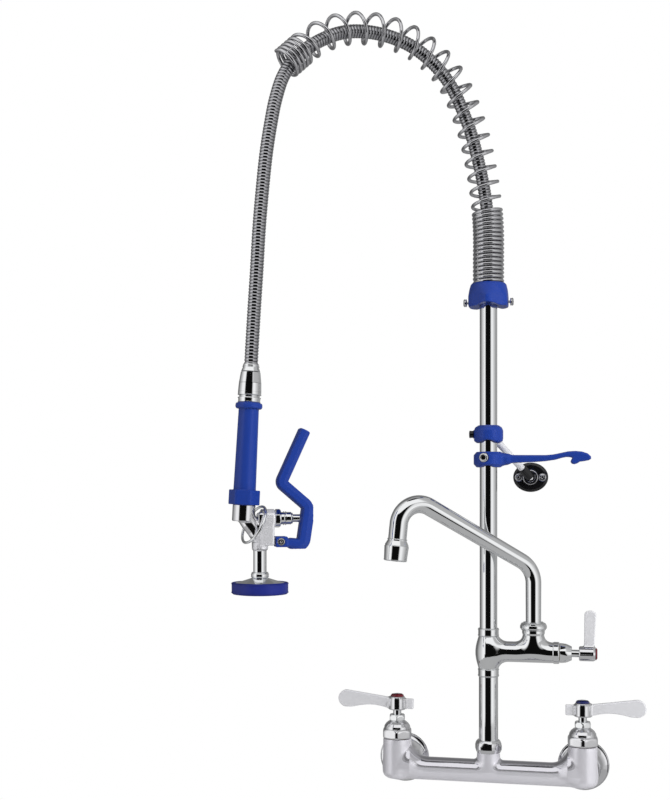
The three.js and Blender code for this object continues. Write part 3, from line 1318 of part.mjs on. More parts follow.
// A wire ring hung loosely round the elbow. It can be slipped over the squeezed lever to hold it down.
const RING_CENTRE = at(10.3, 0, PLUNGER_HEIGHT - 6.4);
const RING_LONG = at(0.511, -0.217, 0.832).normalize();
const RING_FACE = at(-0.857, -0.125, 0.49);

function holdDownRing() {
  const normal = RING_FACE.clone().addScaledVector(RING_LONG, -RING_FACE.dot(RING_LONG)).normalize();
  const geometry = new THREE.TorusGeometry((RING_OD - RING_WIRE) / 2, RING_WIRE / 2, 6, 20);
  const basis = new THREE.Matrix4().makeBasis(RING_LONG, normal.clone().cross(RING_LONG), normal);
  return geometry.applyMatrix4(basis).translate(...RING_CENTRE.toArray());
}

// ---------------------------------------------------------------- neck, spray face and bumper

const NECK_BOTTOM = NECK_TOP - NECK_LENGTH;
const BUMPER_TOP = NECK_BOTTOM - SEAT - FACE_RISE;
const BUMPER_BOTTOM = BUMPER_TOP - BUMPER_HEIGHT;

function sprayNeck() {
  const r = NECK_OD / 2;
  const bead = NECK_BEAD_OD / 2;
  const beadTop = NECK_BOTTOM + NECK_BEAD_HEIGHT;
  return sleeve(
    [[bead - 0.9, NECK_BOTTOM], [bead, NECK_BOTTOM + 1.2], [bead, beadTop - 1.2], [bead - 0.9, beadTop],
      [r, beadTop], [r, NECK_TOP - SEAT]],
    [[HOSE_BORE / 2, NECK_TOP - SEAT], [HOSE_BORE / 2, NECK_BOTTOM]],
    MEDIUM,
  ).translate(NECK_REACH, 0, 0);
}

// A shallow cone over the face disc. Water leaves through the disc's holes.
function sprayFace() {
  const r = BUMPER_OD / 2 - BUMPER_WALL - SEAT;
  const low = BUMPER_BOTTOM + BUMPER_HEIGHT / 4;
  const rim = BUMPER_TOP - 1.4;
  const body = turned([
    [0, low], [r - 0.9, low], [r, low + 0.9], [r, rim], [r - 1.2, rim + 1.2],
    [NECK_BEAD_OD / 2 - 0.7, NECK_BOTTOM - SEAT], [0, NECK_BOTTOM - SEAT],
  ], LARGE);
  const holes = Array.from({ length: FACE_HOLES }, (_, i) => {
    const angle = (2 * Math.PI * i) / FACE_HOLES;
    const out = r * 0.55;
    return lathed(1.3, low - 1, low + 3, 6).translate(out * Math.cos(angle), out * Math.sin(angle), 0);
  });
  return cut(body, ...holes).translate(NECK_REACH, 0, 0);
}

function sprayBumper() {
  const r = BUMPER_OD / 2;
  const inner = r - BUMPER_WALL;
  const lip = inner - 2.1;
  const shelf = BUMPER_BOTTOM + BUMPER_HEIGHT / 4 - SEAT;
  return sleeve(
    [[r - 1.6, BUMPER_BOTTOM], [r, BUMPER_BOTTOM + 1.8], [r, BUMPER_TOP - 1.4], [r - 1.4, BUMPER_TOP]],
    [[inner, BUMPER_TOP], [inner, shelf], [lip, shelf], [lip, BUMPER_BOTTOM]],
    LARGE,
  ).translate(NECK_REACH, 0, 0);
}

function sprayValve() {
  const handle = assembly(
    [0, 0, 0],
    part('hand_grip', handGrip(), BLUE),
    part('hose_ferrule', hoseFerrule(), CHROME),
  );
  handle.rotation.y = radians(GRIP_LEAN);
  const packingNut = part(
    'spray_packing_nut',
    alongX(nut(SPRAY_NUT_FLATS, SPRAY_NUT_LENGTH, PLUNGER_OD + 2 * RUNNING, 1, MEDIUM)),
    CHROME,
  );
  packingNut.position.set(PACKING_FACE + SEAT, 0, PLUNGER_HEIGHT);
  const valve = assembly(
    GRIP_FOOT.toArray(),
    handle,
    part('spray_body', sprayBody(), CHROME),
    packingNut,
    part('spray_plunger', plunger(), CHROME),
    part('plunger_spring', plungerSpring(), STEEL),
    part('squeeze_lever', squeezeLever(), BLUE),
    part('lever_pivot_screw', pivotScrew(), STEEL),
    part('hold_down_ring', holdDownRing(), CHROME),
    part('spray_neck', sprayNeck(), CHROME),
    part('spray_face', sprayFace(), CHROME),
    part('spray_bumper', sprayBumper(), BLUE),
  );
  valve.rotation.z = radians(SPRAY_TURN - ARCH_SWING);
  return valve;
}

// ---------------------------------------------------------------- the whole faucet

// The spring, the hose and the spray valve that hangs on it, turned about the riser.
const arch = assembly([0, 0, 0], overheadSpring(), ribbedHose(), sprayValve());
arch.rotation.z = radians(ARCH_SWING);

const faucet = assembly(
  [0, -WALL_TO_RISER, 0],
  mixerBody(),
  wallFlange('left_wall_flange', -VALVE_AT),
  wallFlange('right_wall_flange', VALVE_AT),
  mixingValve('hot', -VALVE_AT, 0, RED),
  mixingValve('cold', VALVE_AT, Math.PI, BLUE),
  ...riserPieces(),
  addOnBody(),
  sideValve(),
  ...swingSpout(),
  ...wallBracket(),
  hookPieces(),
  part('spring_collar', springCollar(), BLUE),
  thumbScrew('left_thumb_screw', -1),
  thumbScrew('right_thumb_screw', 1),
  hoseTopFitting(),
  arch,
);

export default faucet;
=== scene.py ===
from functools import partial
from math import ceil, cos, degrees, hypot, pi, radians, sin, tan

import bmesh
import bpy
import numpy as np
from mathutils import Matrix, Vector


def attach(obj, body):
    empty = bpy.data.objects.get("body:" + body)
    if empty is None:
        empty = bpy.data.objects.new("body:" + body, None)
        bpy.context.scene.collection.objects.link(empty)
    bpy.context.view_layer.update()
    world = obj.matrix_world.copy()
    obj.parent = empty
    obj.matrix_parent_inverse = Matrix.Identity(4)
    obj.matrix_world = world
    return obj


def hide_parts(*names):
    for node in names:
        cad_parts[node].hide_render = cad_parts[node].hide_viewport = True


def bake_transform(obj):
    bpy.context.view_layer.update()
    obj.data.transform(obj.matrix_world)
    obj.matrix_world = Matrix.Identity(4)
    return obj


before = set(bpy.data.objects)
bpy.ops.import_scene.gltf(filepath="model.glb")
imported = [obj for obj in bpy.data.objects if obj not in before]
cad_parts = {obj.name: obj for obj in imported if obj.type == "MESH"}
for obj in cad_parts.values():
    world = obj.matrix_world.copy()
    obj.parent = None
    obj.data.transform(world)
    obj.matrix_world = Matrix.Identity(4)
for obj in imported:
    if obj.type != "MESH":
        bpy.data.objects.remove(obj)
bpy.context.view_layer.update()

# ---- camera
# It stands level and a little to the right of the faucet. The shift lifts the view, so that upright
# lines stay upright.


def stand(name, data):
    """A new object in the scene with the given data."""
    thing = bpy.data.objects.new(name, data)
    bpy.context.collection.objects.link(thing)
    return thing


lens = bpy.data.cameras.new("studio_camera")
lens.sensor_width = 36
lens.lens = 54.81
lens.shift_y = 0.1125
lens.clip_start = 0.05
lens.clip_end = 30
camera = stand("studio_camera", lens)
camera.location = (0.1252, -1.3968, 0.3086)
camera.rotation_euler = (radians(90), 0, radians(12.5))
bpy.context.scene.camera = camera
bpy.context.scene.view_settings.view_transform = "Standard"

# ---- hose
# A stainless hose wound from interlocked strip, with a lead up through the overhead spring and a long
# stretch that hangs free. It is crimped into a fitting on the riser and into the spray's ferrule.
RISER_Y = -0.052  # the faucet's middle plane; the wall's face is at y = 0
middle_plane = Matrix.Translation((0, RISER_Y, 0))
ARCH_TURN = radians(34)  # the arch stands this far out in front of the wall's plane
arch_plane = middle_plane @ Matrix.Rotation(ARCH_TURN, 4, "Z")


def placed(points, plane=middle_plane):
    """Points given in millimetres as (x, z) in a plane of the faucet, or as (x, y, z) from it."""
    full = [(p[0], 0, p[1]) if len(p) == 2 else p for p in points]
    return [plane @ (Vector(p) / 1000) for p in full]


def smooth_line(corners):
    """A centripetal Catmull-Rom line through the points, of 40 steps from each to the next."""
    steps = 40
    known = [Vector(c) for c in corners]
    ends = [2 * known[0] - known[1], *known, 2 * known[-1] - known[-2]]
    line = []
    for p0, p1, p2, p3 in zip(ends, ends[1:], ends[2:], ends[3:]):
        a, b, c = ((q - p).length ** 0.5 for p, q in ((p0, p1), (p1, p2), (p2, p3)))
        leave = ((p1 - p0) / a - (p2 - p0) / (a + b) + (p2 - p1) / b) * b
        arrive = ((p2 - p1) / b - (p3 - p1) / (b + c) + (p3 - p2) / c) * b
        for i in range(steps):
            t = i / steps
            cubic = 2 * p1 - 2 * p2 + leave + arrive
            square = 3 * p2 - 3 * p1 - 2 * leave - arrive
            line.append(p1 + leave * t + square * t * t + cubic * t * t * t)
    return line + [known[-1]]


def add(tree, kind, inputs=(), **settings):
    """A node with its settings, and with values or links on its input sockets."""
    node = tree.nodes.new(kind)
    for name, value in settings.items():
        setattr(node, name, value)
    for name, value in dict(inputs).items():
        if isinstance(value, bpy.types.NodeSocket):
            tree.links.new(value, node.inputs[name])
        else:
            node.inputs[name].default_value = value
    return node


def maths(tree, operation, *values):
    return add(tree, "ShaderNodeMath", enumerate(values), operation=operation).outputs[0]


def arithmetic(tree):
    """Sums, differences, products and quotients in a tree, and its other nodes."""
    return [*(partial(maths, tree, kind) for kind in ("ADD", "SUBTRACT", "MULTIPLY", "DIVIDE")), partial(add, tree)]


def node_group(name, kind, inputs, outputs):
    """An empty node group with sockets for numbers, or for what is named Geometry, and its two end nodes."""
    tree = bpy.data.node_groups.new(name, kind)
    for in_out, labels in (("INPUT", inputs), ("OUTPUT", outputs)):
        for label in labels:
            socket = "NodeSocketGeometry" if label == "Geometry" else "NodeSocketFloat"
            tree.interface.new_socket(label, in_out=in_out, socket_type=socket)
    return tree, tree.nodes.new("NodeGroupInput").outputs, tree.nodes.new("NodeGroupOutput").inputs


# Plating and plastic are never quite even: hands, water and polishing leave a slow change of gloss,
# fine marks and a slight waviness.
handling, given, made = node_group(
    "handling_marks", "ShaderNodeTree", ["Gloss", "Change", "Marks", "Mark size", "Wave"], ["Roughness", "Height"],
)
plus, minus, times, over, node = arithmetic(handling)
where = node("ShaderNodeTexCoord").outputs["Object"]
slow, fine, swell = (
    node("ShaderNodeTexNoise", {"Vector": where, "Scale": scale, "Detail": detail}).outputs[0]
    for scale, detail in ((22, 3), (given["Mark size"], 5), (55, 1))
)
drift = times(minus(slow, 0.45), given["Change"])
speck = times(minus(fine, 0.5), given["Marks"])
gloss = plus(plus(given["Gloss"], drift), speck)
handling.links.new(maths(handling, "MAXIMUM", gloss, 0.02), made["Roughness"])
wavy, grit = times(swell, given["Wave"]), times(fine, given["Marks"])
handling.links.new(plus(wavy, grit), made["Height"])


def shader_of(material):
    return material.node_tree.nodes["Principled BSDF"]


def finish(name, colour, metallic, gloss, change=0.05, marks=0.05, mark_size=400, wave=0.1, bump=0.02, coat=0.0):
    """A Principled material whose gloss and surface come from the handling marks."""
    material = bpy.data.materials.new(name)
    material.use_nodes = True
    tree, shader = material.node_tree, shader_of(material)
    looks = {"Base Color": (*colour, 1), "Metallic": metallic, "Coat Weight": coat, "Coat Roughness": 0.12}
    for label, value in looks.items():
        shader.inputs[label].default_value = value
    values = {"Gloss": gloss, "Change": change, "Marks": marks, "Mark size": mark_size, "Wave": wave}
    group = add(tree, "ShaderNodeGroup", values, node_tree=handling)
    relief = add(tree, "ShaderNodeBump", {"Height": group.outputs["Height"], "Strength": bump, "Distance": 0.001})
    tree.links.new(group.outputs["Roughness"], shader.inputs["Roughness"])
    tree.links.new(relief.outputs["Normal"], shader.inputs["Normal"])
    return material


# The strip's steel keeps its own colour on the crests; the grooves where the windings lock are coloured near black, a
# painted shade that stands in for their shadow.
hose_steel = finish("hose_steel", (0.5, 0.5, 0.52), 1, 0.13, marks=0.1, mark_size=900)
groove = add(hose_steel.node_tree, "ShaderNodeAttribute", attribute_name="groove")
crest_and_groove_shade = add(hose_steel.node_tree, "ShaderNodeMix", data_type="RGBA")
crest_and_groove_shade.inputs[6].default_value = (0.46, 0.46, 0.48, 1)
crest_and_groove_shade.inputs[7].default_value = (0.03, 0.03, 0.035, 1)
hose_steel.node_tree.links.new(groove.outputs["Fac"], crest_and_groove_shade.inputs[0])
hose_steel.node_tree.links.new(crest_and_groove_shade.outputs[2], shader_of(hose_steel).inputs["Base Color"])


def close_tree(tree, geometry, material, made):
    """Real, smooth and painted geometry at the tree's end."""
    real = add(tree, "GeometryNodeRealizeInstances", {"Geometry": geometry})
    smooth = add(tree, "GeometryNodeSetShadeSmooth", {"Geometry": real.outputs[0]})
    painted = add(tree, "GeometryNodeSetMaterial", {"Geometry": smooth.outputs[0], "Material": material})
    tree.links.new(painted.outputs[0], made[0])


def shaped(name, vertices, faces=(), edges=()):
    mesh = bpy.data.meshes.new(name)
    mesh.from_pydata([tuple(v) for v in vertices], edges, faces)
    return stand(name, mesh)


def grown(name, tree, line, sizes):
    """The plain mesh that a tree makes along a line."""
    carrier = shaped(name + "_line", line, edges=[(i, i + 1) for i in range(len(line) - 1)])
    modifier = carrier.modifiers.new("growth", "NODES")
    modifier.node_group = tree
    for item in tree.interface.items_tree:
        if item.in_out == "INPUT" and item.name in sizes:
            modifier[item.identifier] = float(sizes[item.name])
    graph = bpy.context.evaluated_depsgraph_get()
    mesh = bpy.data.meshes.new_from_object(carrier.evaluated_get(graph), depsgraph=graph)
    bpy.data.objects.remove(carrier)
    mesh.name = name
    return stand(name, mesh)


hose_sizes = {"Crest radius": 0.007, "Groove depth": 0.0007, "Rib pitch": 0.0033, "Rings per rib": 4, "Sides": 20}
hose_tree, given, made = node_group("strip_wound_hose", "GeometryNodeTree", ["Geometry", *hose_sizes], ["Geometry"])
plus, minus, times, over, node = arithmetic(hose_tree)
path = node("GeometryNodeMeshToCurve", {"Mesh": given["Geometry"]})
spacing = over(given["Rib pitch"], given["Rings per rib"])
rings = node("GeometryNodeResampleCurve", {"Curve": path.outputs[0], "Length": spacing}, mode="LENGTH")
turn = maths(hose_tree, "MODULO", node("GeometryNodeInputIndex").outputs[0], given["Rings per rib"])
in_groove = maths(hose_tree, "LESS_THAN", turn, 0.5)
# This groove mark only paints the grooves' shade into the hose's colour: painted shade, near black.
mark = {"Geometry": rings.outputs[0], "Name": "groove", "Value": in_groove}
marked = node("GeometryNodeStoreNamedAttribute", mark, domain="POINT")
radius = minus(given["Crest radius"], times(in_groove, given["Groove depth"]))
hoop = node("GeometryNodeCurvePrimitiveCircle", {"Resolution": given["Sides"], "Radius": 1.0})
swept = {"Curve": marked.outputs[0], "Profile Curve": hoop.outputs[0], "Scale": radius, "Fill Caps": True}
close_tree(hose_tree, node("GeometryNodeCurveToMesh", swept).outputs[0], hose_steel, made)

hose_route = placed([
    (0, 545.6), (0, 559.8), (0, 590), (-3.4, 627.5), (-12.9, 670.1), (-26.9, 711.4), (-51.6, 754.2),
    (-87.5, 781.7), (-127.9, 792.2), (-167.9, 789.5), (-200.8, 774.6), (-225.7, 753.4), (-238.7, 734.1),
    (-247, 709.2), (-252, 685), (-257, 653.7), (-261, 617.4), (-264.6, 576.8), (-267.3, 532.1), (-270, 491.8),
    (-273, -1.53, 450.7), (-273.71, -1.4, 436.5),
], arch_plane)
hose_line = smooth_line(hose_route)
mouth = placed([(-236.4, 747.5)], arch_plane)[0]  # where the hose leaves the spring
past_top = 400  # a point of the hose beyond the arch's top
parting = min(range(past_top, len(hose_line)), key=lambda i: (hose_line[i] - mouth).length)
stretches = {"hose_in_spring": hose_line[: parting + 1], "hanging_hose": hose_line[parting:]}
for name, line in stretches.items():
    hose = grown(name, hose_tree, line, hose_sizes)
    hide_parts("flexible_hose")
    if name == "hanging_hose":
        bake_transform(hose)
    else:
        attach(hose, "faucet")

# ---- overhead spring
# One stainless wire: closed turns stand in the collar, open turns carry the hose over in an arch, and
# a short closed block ends round the hose. It holds the spray up within reach.
spring_steel = finish("spring_steel", (0.58, 0.58, 0.6), 1, 0.1, change=0.08, marks=0.06, mark_size=700)
spring_sizes = {
    "Coil radius": 0.0153, "Wire radius": 0.0019, "Closed turns": 21, "Closed pitch": 0.0045, "Open turns": 18,
    "Open growth": 1.5, "End turns": 5, "End pitch": 0.0051, "Steps per turn": 40, "Sides": 12,
}
spring_tree, size, made = node_group("wound_spring", "GeometryNodeTree", ["Geometry", *spring_sizes], ["Geometry"])
plus, minus, times, over, node = arithmetic(spring_tree)


def vectors(operation, *values, **named):
    inputs = {**dict(enumerate(values)), **named}
    return add(spring_tree, "ShaderNodeVectorMath", inputs, operation=operation).outputs[0]


path = node("GeometryNodeMeshToCurve", {"Mesh": size["Geometry"]}).outputs[0]
whole = node("GeometryNodeCurveLength", {"Curve": path}).outputs[0]
closed = times(size["Closed turns"], size["Closed pitch"])
opened = minus(minus(whole, closed), times(size["End turns"], size["End pitch"]))
early = plus(size["Closed turns"], size["Open turns"])
count = plus(times(plus(early, size["End turns"]), size["Steps per turn"]), 1)
wire = node("GeometryNodeMeshLine", {"Count": count, "Offset": (0, 0, 0.001)}, mode="OFFSET")
turn = over(node("GeometryNodeInputIndex").outputs[0], size["Steps per turn"])
low_travel = times(maths(spring_tree, "MINIMUM", turn, size["Closed turns"]), size["Closed pitch"])
open_span = {"Value": turn, "From Min": size["Closed turns"], "From Max": early}
share = node("ShaderNodeMapRange", open_span).outputs[0]
growth = minus(maths(spring_tree, "POWER", size["Open growth"], share), 1)
open_travel = times(opened, over(growth, minus(size["Open growth"], 1)))
end_travel = times(maths(spring_tree, "MAXIMUM", minus(turn, early), 0), size["End pitch"])
travel = plus(plus(low_travel, open_travel), end_travel)
spot = node("GeometryNodeSampleCurve", {"Curves": path, "Length": travel}, mode="LENGTH").outputs
across = (-sin(ARCH_TURN), cos(ARCH_TURN), 0)
inward = vectors("CROSS_PRODUCT", across, spot["Tangent"])
angle = times(turn, 2 * pi)
in_plane, sideways = (
    vectors("SCALE", way, Scale=times(maths(spring_tree, wave, angle), size["Coil radius"]))
    for way, wave in ((inward, "COSINE"), (across, "SINE"))
)
centre = vectors("ADD", vectors("ADD", in_plane, sideways), spot["Position"])
wound = node("GeometryNodeSetPosition", {"Geometry": wire.outputs[0], "Position": centre})
thread = node("GeometryNodeMeshToCurve", {"Mesh": wound.outputs[0]})
section = node("GeometryNodeCurvePrimitiveCircle", {"Resolution": size["Sides"], "Radius": size["Wire radius"]})
swept = {"Curve": thread.outputs[0], "Profile Curve": section.outputs[0], "Scale": 1.0, "Fill Caps": True}
close_tree(spring_tree, node("GeometryNodeCurveToMesh", swept).outputs[0], spring_steel, made)
spring_line = smooth_line(placed([
    (0, 520.7), (0, 560), (0, 590), (-1.8, 616.5), (-9.3, 662.6), (-22.5, 709.2), (-47.8, 756.9),
    (-85.7, 785.4), (-126.9, 795.9), (-168.8, 792.5), (-203.6, 776.2), (-236.4, 747.5),
], arch_plane))
spring = grown("wound_spring", spring_tree, spring_line, spring_sizes)
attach(spring, "faucet")
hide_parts("overhead_spring")

# ---- riser
# Drawn brass tube, polished and chrome plated: a short length up to the add-on valve and a long one to
# the spring. Slim threaded rings stand where the tube enters the valve, and a nut holds it to the body.
chrome = finish("polished_chrome", (0.86, 0.87, 0.88), 1, 0.05, change=0.03, marks=0.02, mark_size=500,
                wave=0.06, bump=0.01)
bright_casting = finish("bright_casting", (0.8, 0.8, 0.82), 1, 0.09, change=0.05, marks=0.04,
                        mark_size=350, wave=0.25, bump=0.03)


def upright(x=0.0, y=0.0, z=0.0, axis=(0, 0, 1), plane=middle_plane):
    """The place of a turned piece: its foot in millimetres from a plane of the faucet, and its axis."""
    turn = Vector((0, 0, 1)).rotation_difference(Vector(axis)).to_matrix().to_4x4()
    return plane @ Matrix.Translation(Vector((x, y, z)) / 1000) @ turn


def eased(profile, loop):
    """A profile's corners, given as (radius, height, fillet), with their fillets and a line close by each side."""
    line = []
    for i, corner in enumerate(profile):
        here, fillet = Vector(corner[:2]), corner[2] if len(corner) > 2 else 0
        sides = [Vector(profile[k % len(profile)][:2]) - here for k in (i - 1, i + 1)]
        before, after = (side.normalized() for side in sides)
        half = before.angle(after) / 2
        if not fillet or half > 1.55 or (not loop and i in (0, len(profile) - 1)):
            line.append(tuple(here))
            continue
        run = min(fillet / tan(half), *(0.48 * side.length for side in sides))
        middle = here + (before + after).normalized() * (run / cos(half))
        start, stop = here + before * run, here + after * run
        steps = max(2, round((pi - 2 * half) / radians(18)))
        line.append(tuple(start + before * min(0.15, run * 0.3)))
        line += [tuple(middle + (start - middle).slerp(stop - middle, k / steps)) for k in range(steps + 1)]
        line.append(tuple(stop + after * min(0.15, run * 0.3)))
    return line


def recorded(piece, material, node, body="faucet", slot=None):
    """The piece with its material, attached to its body, with the imported part of its node hidden. The slot is not
    used.
    """
    piece.data.materials.append(material)
    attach(piece, body)
    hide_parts(node)
    return piece


def skinned(name, rings, closed, material, node, **records):
    """A skin across rings of points, outward, and smooth but for its sharp edges. A ring of one point is a tip."""
    sides, vertices, rows, faces = max(map(len, rings)), [], [], []
    for ring in rings:
        rows.append([len(vertices) + k % len(ring) for k in range(sides)])
        vertices += ring
    for low, high in zip(rows, rows[1:] + rows[:1] * closed):
        for k in range(sides):
            after = (k + 1) % sides
            face = list(dict.fromkeys((low[k], low[after], high[after], high[k])))
            if len(face) > 2:
                faces.append(face)
    piece = shaped(name, vertices, faces)
    work = bmesh.new()
    work.from_mesh(piece.data)
    bmesh.ops.remove_doubles(work, verts=work.verts, dist=1e-7)
    bmesh.ops.recalc_face_normals(work, faces=work.faces)
    for face in work.faces:
        face.smooth = True
    for edge in work.edges:
        edge.smooth = edge.calc_face_angle(0) < radians(32)
    work.to_mesh(piece.data)
    work.free()
    return recorded(piece, material, node, **records)


def turned(name, profile, place, material, node, sides=96, **records):
    """A piece turned on a lathe from a profile in millimetres, which starts and ends on the axis or goes round."""
    loop, rings = profile[0][0] > 0, []
    for radius, height in eased(profile, loop):
        radius, height = radius / 1000, height / 1000
        angles = [2 * pi * k / sides for k in range(sides if radius > 1e-9 else 1)]
        rings.append([place @ Vector((radius * cos(a), radius * sin(a), height)) for a in angles])
    return skinned(name, rings, loop, material, node, **records)


for name, outer, low, high in (("lower_riser", 10.5, 16.3, 112.2), ("riser_pipe", 9.6, 148.3, 530)):
    profile = [(outer, low, 0.3), (outer, high, 0.3), (8, high, 0.2), (8, low, 0.2)]
    turned(name + "_tube", profile, upright(), chrome, name)
for name, low in (("lower_coupling", 104.2), ("upper_coupling", 148.3)):
    profile = [(9.75, low, 0.1), (10.7, low, 0.4), (11.2, low + 0.9, 0.5), (11.2, low + 7.1, 0.5), (10.7, low + 8, 0.4),
               (9.75, low + 8, 0.1)]
    turned(name + "_ring", profile, upright(), chrome, name)

# ---- hose fitting and spring collar
# The hose screws on to the riser's top inside the spring. A royal-blue moulded collar slides over the
# riser, carries the spring on its floor and is held by a small steel screw on each side.
turned(
    "hose_fitting",
    [(4.5, 530.3), (9.2, 530.3, 0.4), (9.6, 531.1, 0.4), (9.6, 536.3, 0.6), (8.6, 537.8, 0.6), (8.6, 545.3, 0.4),
     (4.5, 545.3)],
    upright(), chrome, "hose_top_fitting")
blue = finish("blue_moulding", (0.008, 0.036, 0.255), 0, 0.34, change=0.12, marks=0.12, mark_size=260,
              wave=0.3, bump=0.06)
shader_of(blue).inputs["Specular IOR Level"].default_value = 0.3
RISER_BORE = 9.9  # the radius of the bore in what grips the riser


def nearest_edge(flat, outline):
    """Signed distance of flat points to a closed outline, less than nothing inside it."""
    corners = np.array(outline, float)
    gap = np.full(len(flat), np.inf)
    sign = np.ones(len(flat))
    for a, b in zip(corners, np.roll(corners, 1, axis=0)):
        edge, off = b - a, flat - a
        t = np.clip(off @ edge / max(edge @ edge, 1e-12), 0, 1)[:, None]
        gap = np.minimum(gap, ((off - edge * t) ** 2).sum(1))
        above, below = flat[:, 1] >= a[1], flat[:, 1] < b[1]
        left = edge[0] * off[:, 1] > edge[1] * off[:, 0]
        sign[(above & below & left) | (~above & ~below & ~left)] *= -1
    return sign * np.sqrt(gap)


def rounded_off(inside, beside, ease):
    """Two distances that meet in an edge of the given roundness."""
    a, b = inside + ease, beside + ease
    return np.hypot(np.maximum(a, 0), np.maximum(b, 0)) + np.minimum(np.maximum(a, b), 0) - ease


def rod(p, start, stop, radius, ease=0.6):
    """A round bar between two points."""
    a, b = np.array(start, float), np.array(stop, float)
    span = np.linalg.norm(b - a)
    along = (p - a) @ ((b - a) / span)
    off = np.linalg.norm(p - a - along[:, None] * ((b - a) / span), axis=1)
    return rounded_off(off - radius, np.abs(along - span / 2) - span / 2, ease)


def lathe(p, outline, ease, origin=(0, 0, 0), axis=2):
    """A turned shape from corners given as (radius, height), which lead from the axis and back to it."""
    inside = -20  # beyond the axis, so that no edge lies along it
    outline = [(inside, outline[0][1]), *outline, (inside, outline[-1][1])]
    q = p - np.array(origin, float)
    others = [i for i in range(3) if i != axis]
    flat = np.stack([np.hypot(q[:, others[0]], q[:, others[1]]), q[:, axis]], 1)
    return nearest_edge(flat, outline) - ease


def plate(p, outline, half, ease):
    """A flat shape seen from the front, of the given half thickness, with rounded edges."""
    return rounded_off(nearest_edge(p[:, [0, 2]], outline), np.abs(p[:, 1]) - half, ease)


def block(p, low, high, ease):
    middle, half = (np.array(low, float) + high) / 2, (np.array(high, float) - low) / 2
    q = np.abs(p - middle) - half + ease
    return np.linalg.norm(np.maximum(q, 0), axis=1) + np.minimum(q.max(1), 0) - ease


def melt(a, b, reach):
    """Two shapes joined with a fillet."""
    near = np.maximum(reach - np.abs(a - b), 0)
    return np.minimum(a, b) - near * near / (4 * reach)


def bite(a, b, reach):
    """The first shape without the second."""
    return -melt(-a, b, reach)


def cast(name, field, low, high, step, material, node, plane=middle_plane, **records):
    """A smooth closed skin where a field of distances, in millimetres from a plane of the faucet, passes nothing."""
    axes = [np.arange(a, b + step, step) for a, b in zip(low, high)]
    shape = [len(a) for a in axes]
    grid = np.stack(np.meshgrid(*axes, indexing="ij"), -1).reshape(-1, 3)
    parts = np.array_split(grid, max(1, len(grid) // 200000))  # to spare memory
    value = np.concatenate([field(part) for part in parts]).reshape(shape)
    cells = [n - 1 for n in shape]
    total, count, quads, crossings = np.zeros((*cells, 3)), np.zeros(cells), [], []
    for axis in range(3):
        u, v = (axis + 1) % 3, (axis + 2) % 3
        first, second = [slice(None)] * 3, [slice(None)] * 3
        first[axis], second[axis] = slice(0, -1), slice(1, None)
        a, b = value[tuple(first)], value[tuple(second)]
        crossed = (a < 0) != (b < 0)
        share = np.where(crossed, a / np.where(crossed, a - b, 1), 0)
        for du in (0, 1):
            for dv in (0, 1):
                cut = [slice(None)] * 3
                cut[u], cut[v] = slice(du, du + cells[u]), slice(dv, dv + cells[v])
                here = crossed[tuple(cut)]
                total[..., axis] += share[tuple(cut)] * here
                total[..., u] += du * here
                total[..., v] += dv * here
                count += here
        crossings.append((crossed, a < 0))
    used = count > 0
    number = np.full(cells, -1)
    number[used] = np.arange(used.sum())
    points = (np.argwhere(used) + total[used] / count[used][:, None]) * step + np.array(low, float)
    for axis, (crossed, inside) in enumerate(crossings):
        u, v = (axis + 1) % 3, (axis + 2) % 3
        at = np.argwhere(crossed)
        at = at[(at[:, u] > 0) & (at[:, v] > 0) & (at[:, u] < shape[u] - 1) & (at[:, v] < shape[v] - 1)]
        corners = []
        for du, dv in ((1, 1), (0, 1), (0, 0), (1, 0)):
            cell = at.copy()
            cell[:, u] -= du
            cell[:, v] -= dv
            corners.append(number[tuple(cell.T)])
        quad = np.stack(corners, 1)
        back = ~inside[tuple(at.T)]
        quad[back] = quad[back][:, ::-1]
        quads.append(quad)
    nudge = step * 0.06
    for _ in range(3):
        slope = np.stack([
            (field(points + nudge * np.eye(3)[k]) - field(points - nudge * np.eye(3)[k])) / (2 * nudge)
            for k in range(3)
        ], 1)
        steep = np.maximum((slope ** 2).sum(1), 0.2)[:, None]
        points = points - np.clip(field(points)[:, None] * slope / steep, -step / 2, step / 2)
    mesh = bpy.data.meshes.new(name)
    turn, shift = np.array(plane.to_3x3()), np.array(plane.translation)
    mesh.from_pydata((points / 1000 @ turn.T + shift).tolist(), [], np.concatenate(quads).tolist())
    mesh.shade_smooth()
    slope = slope @ turn.T
    slope /= np.maximum(np.linalg.norm(slope, axis=1), 1e-6)[:, None]
    mesh.normals_split_custom_set_from_vertices(slope.tolist())
    return recorded(stand(name, mesh), material, node, **records)


def repaint(piece, material, chosen):
    """A second material on the faces whose centre passes the test."""
    piece.data.materials.append(material)
    for face in piece.data.polygons:
        face.material_index = int(chosen(face.center))


def hexagon(p, flats, turn=0.0, origin=(0, 0, 0), axis=2):
    """Distance to the six flats of a nut."""
    others = [i for i in range(3) if i != axis]
    q = (p - np.array(origin, float))[:, others]
    return np.max([q @ (cos(a), sin(a)) for a in np.arange(6) * pi / 3 + turn], axis=0) - flats / 2


def nut(p, flats, turn, outline, ease, reach, bore, bore_reach, origin=(0, 0, 0), axis=2):
    """A hexagon chamfered by a turned outline, with a bore given as (radius, start, stop)."""
    sides = hexagon(p, flats, turn, origin, axis)
    body = -melt(-sides, -lathe(p, outline, ease, origin, axis), reach)
    start, stop = (np.array(origin, float) + along * np.eye(3)[axis] for along in bore[1:])
    return bite(body, rod(p, start, stop, bore[0], 0.1), bore_reach)


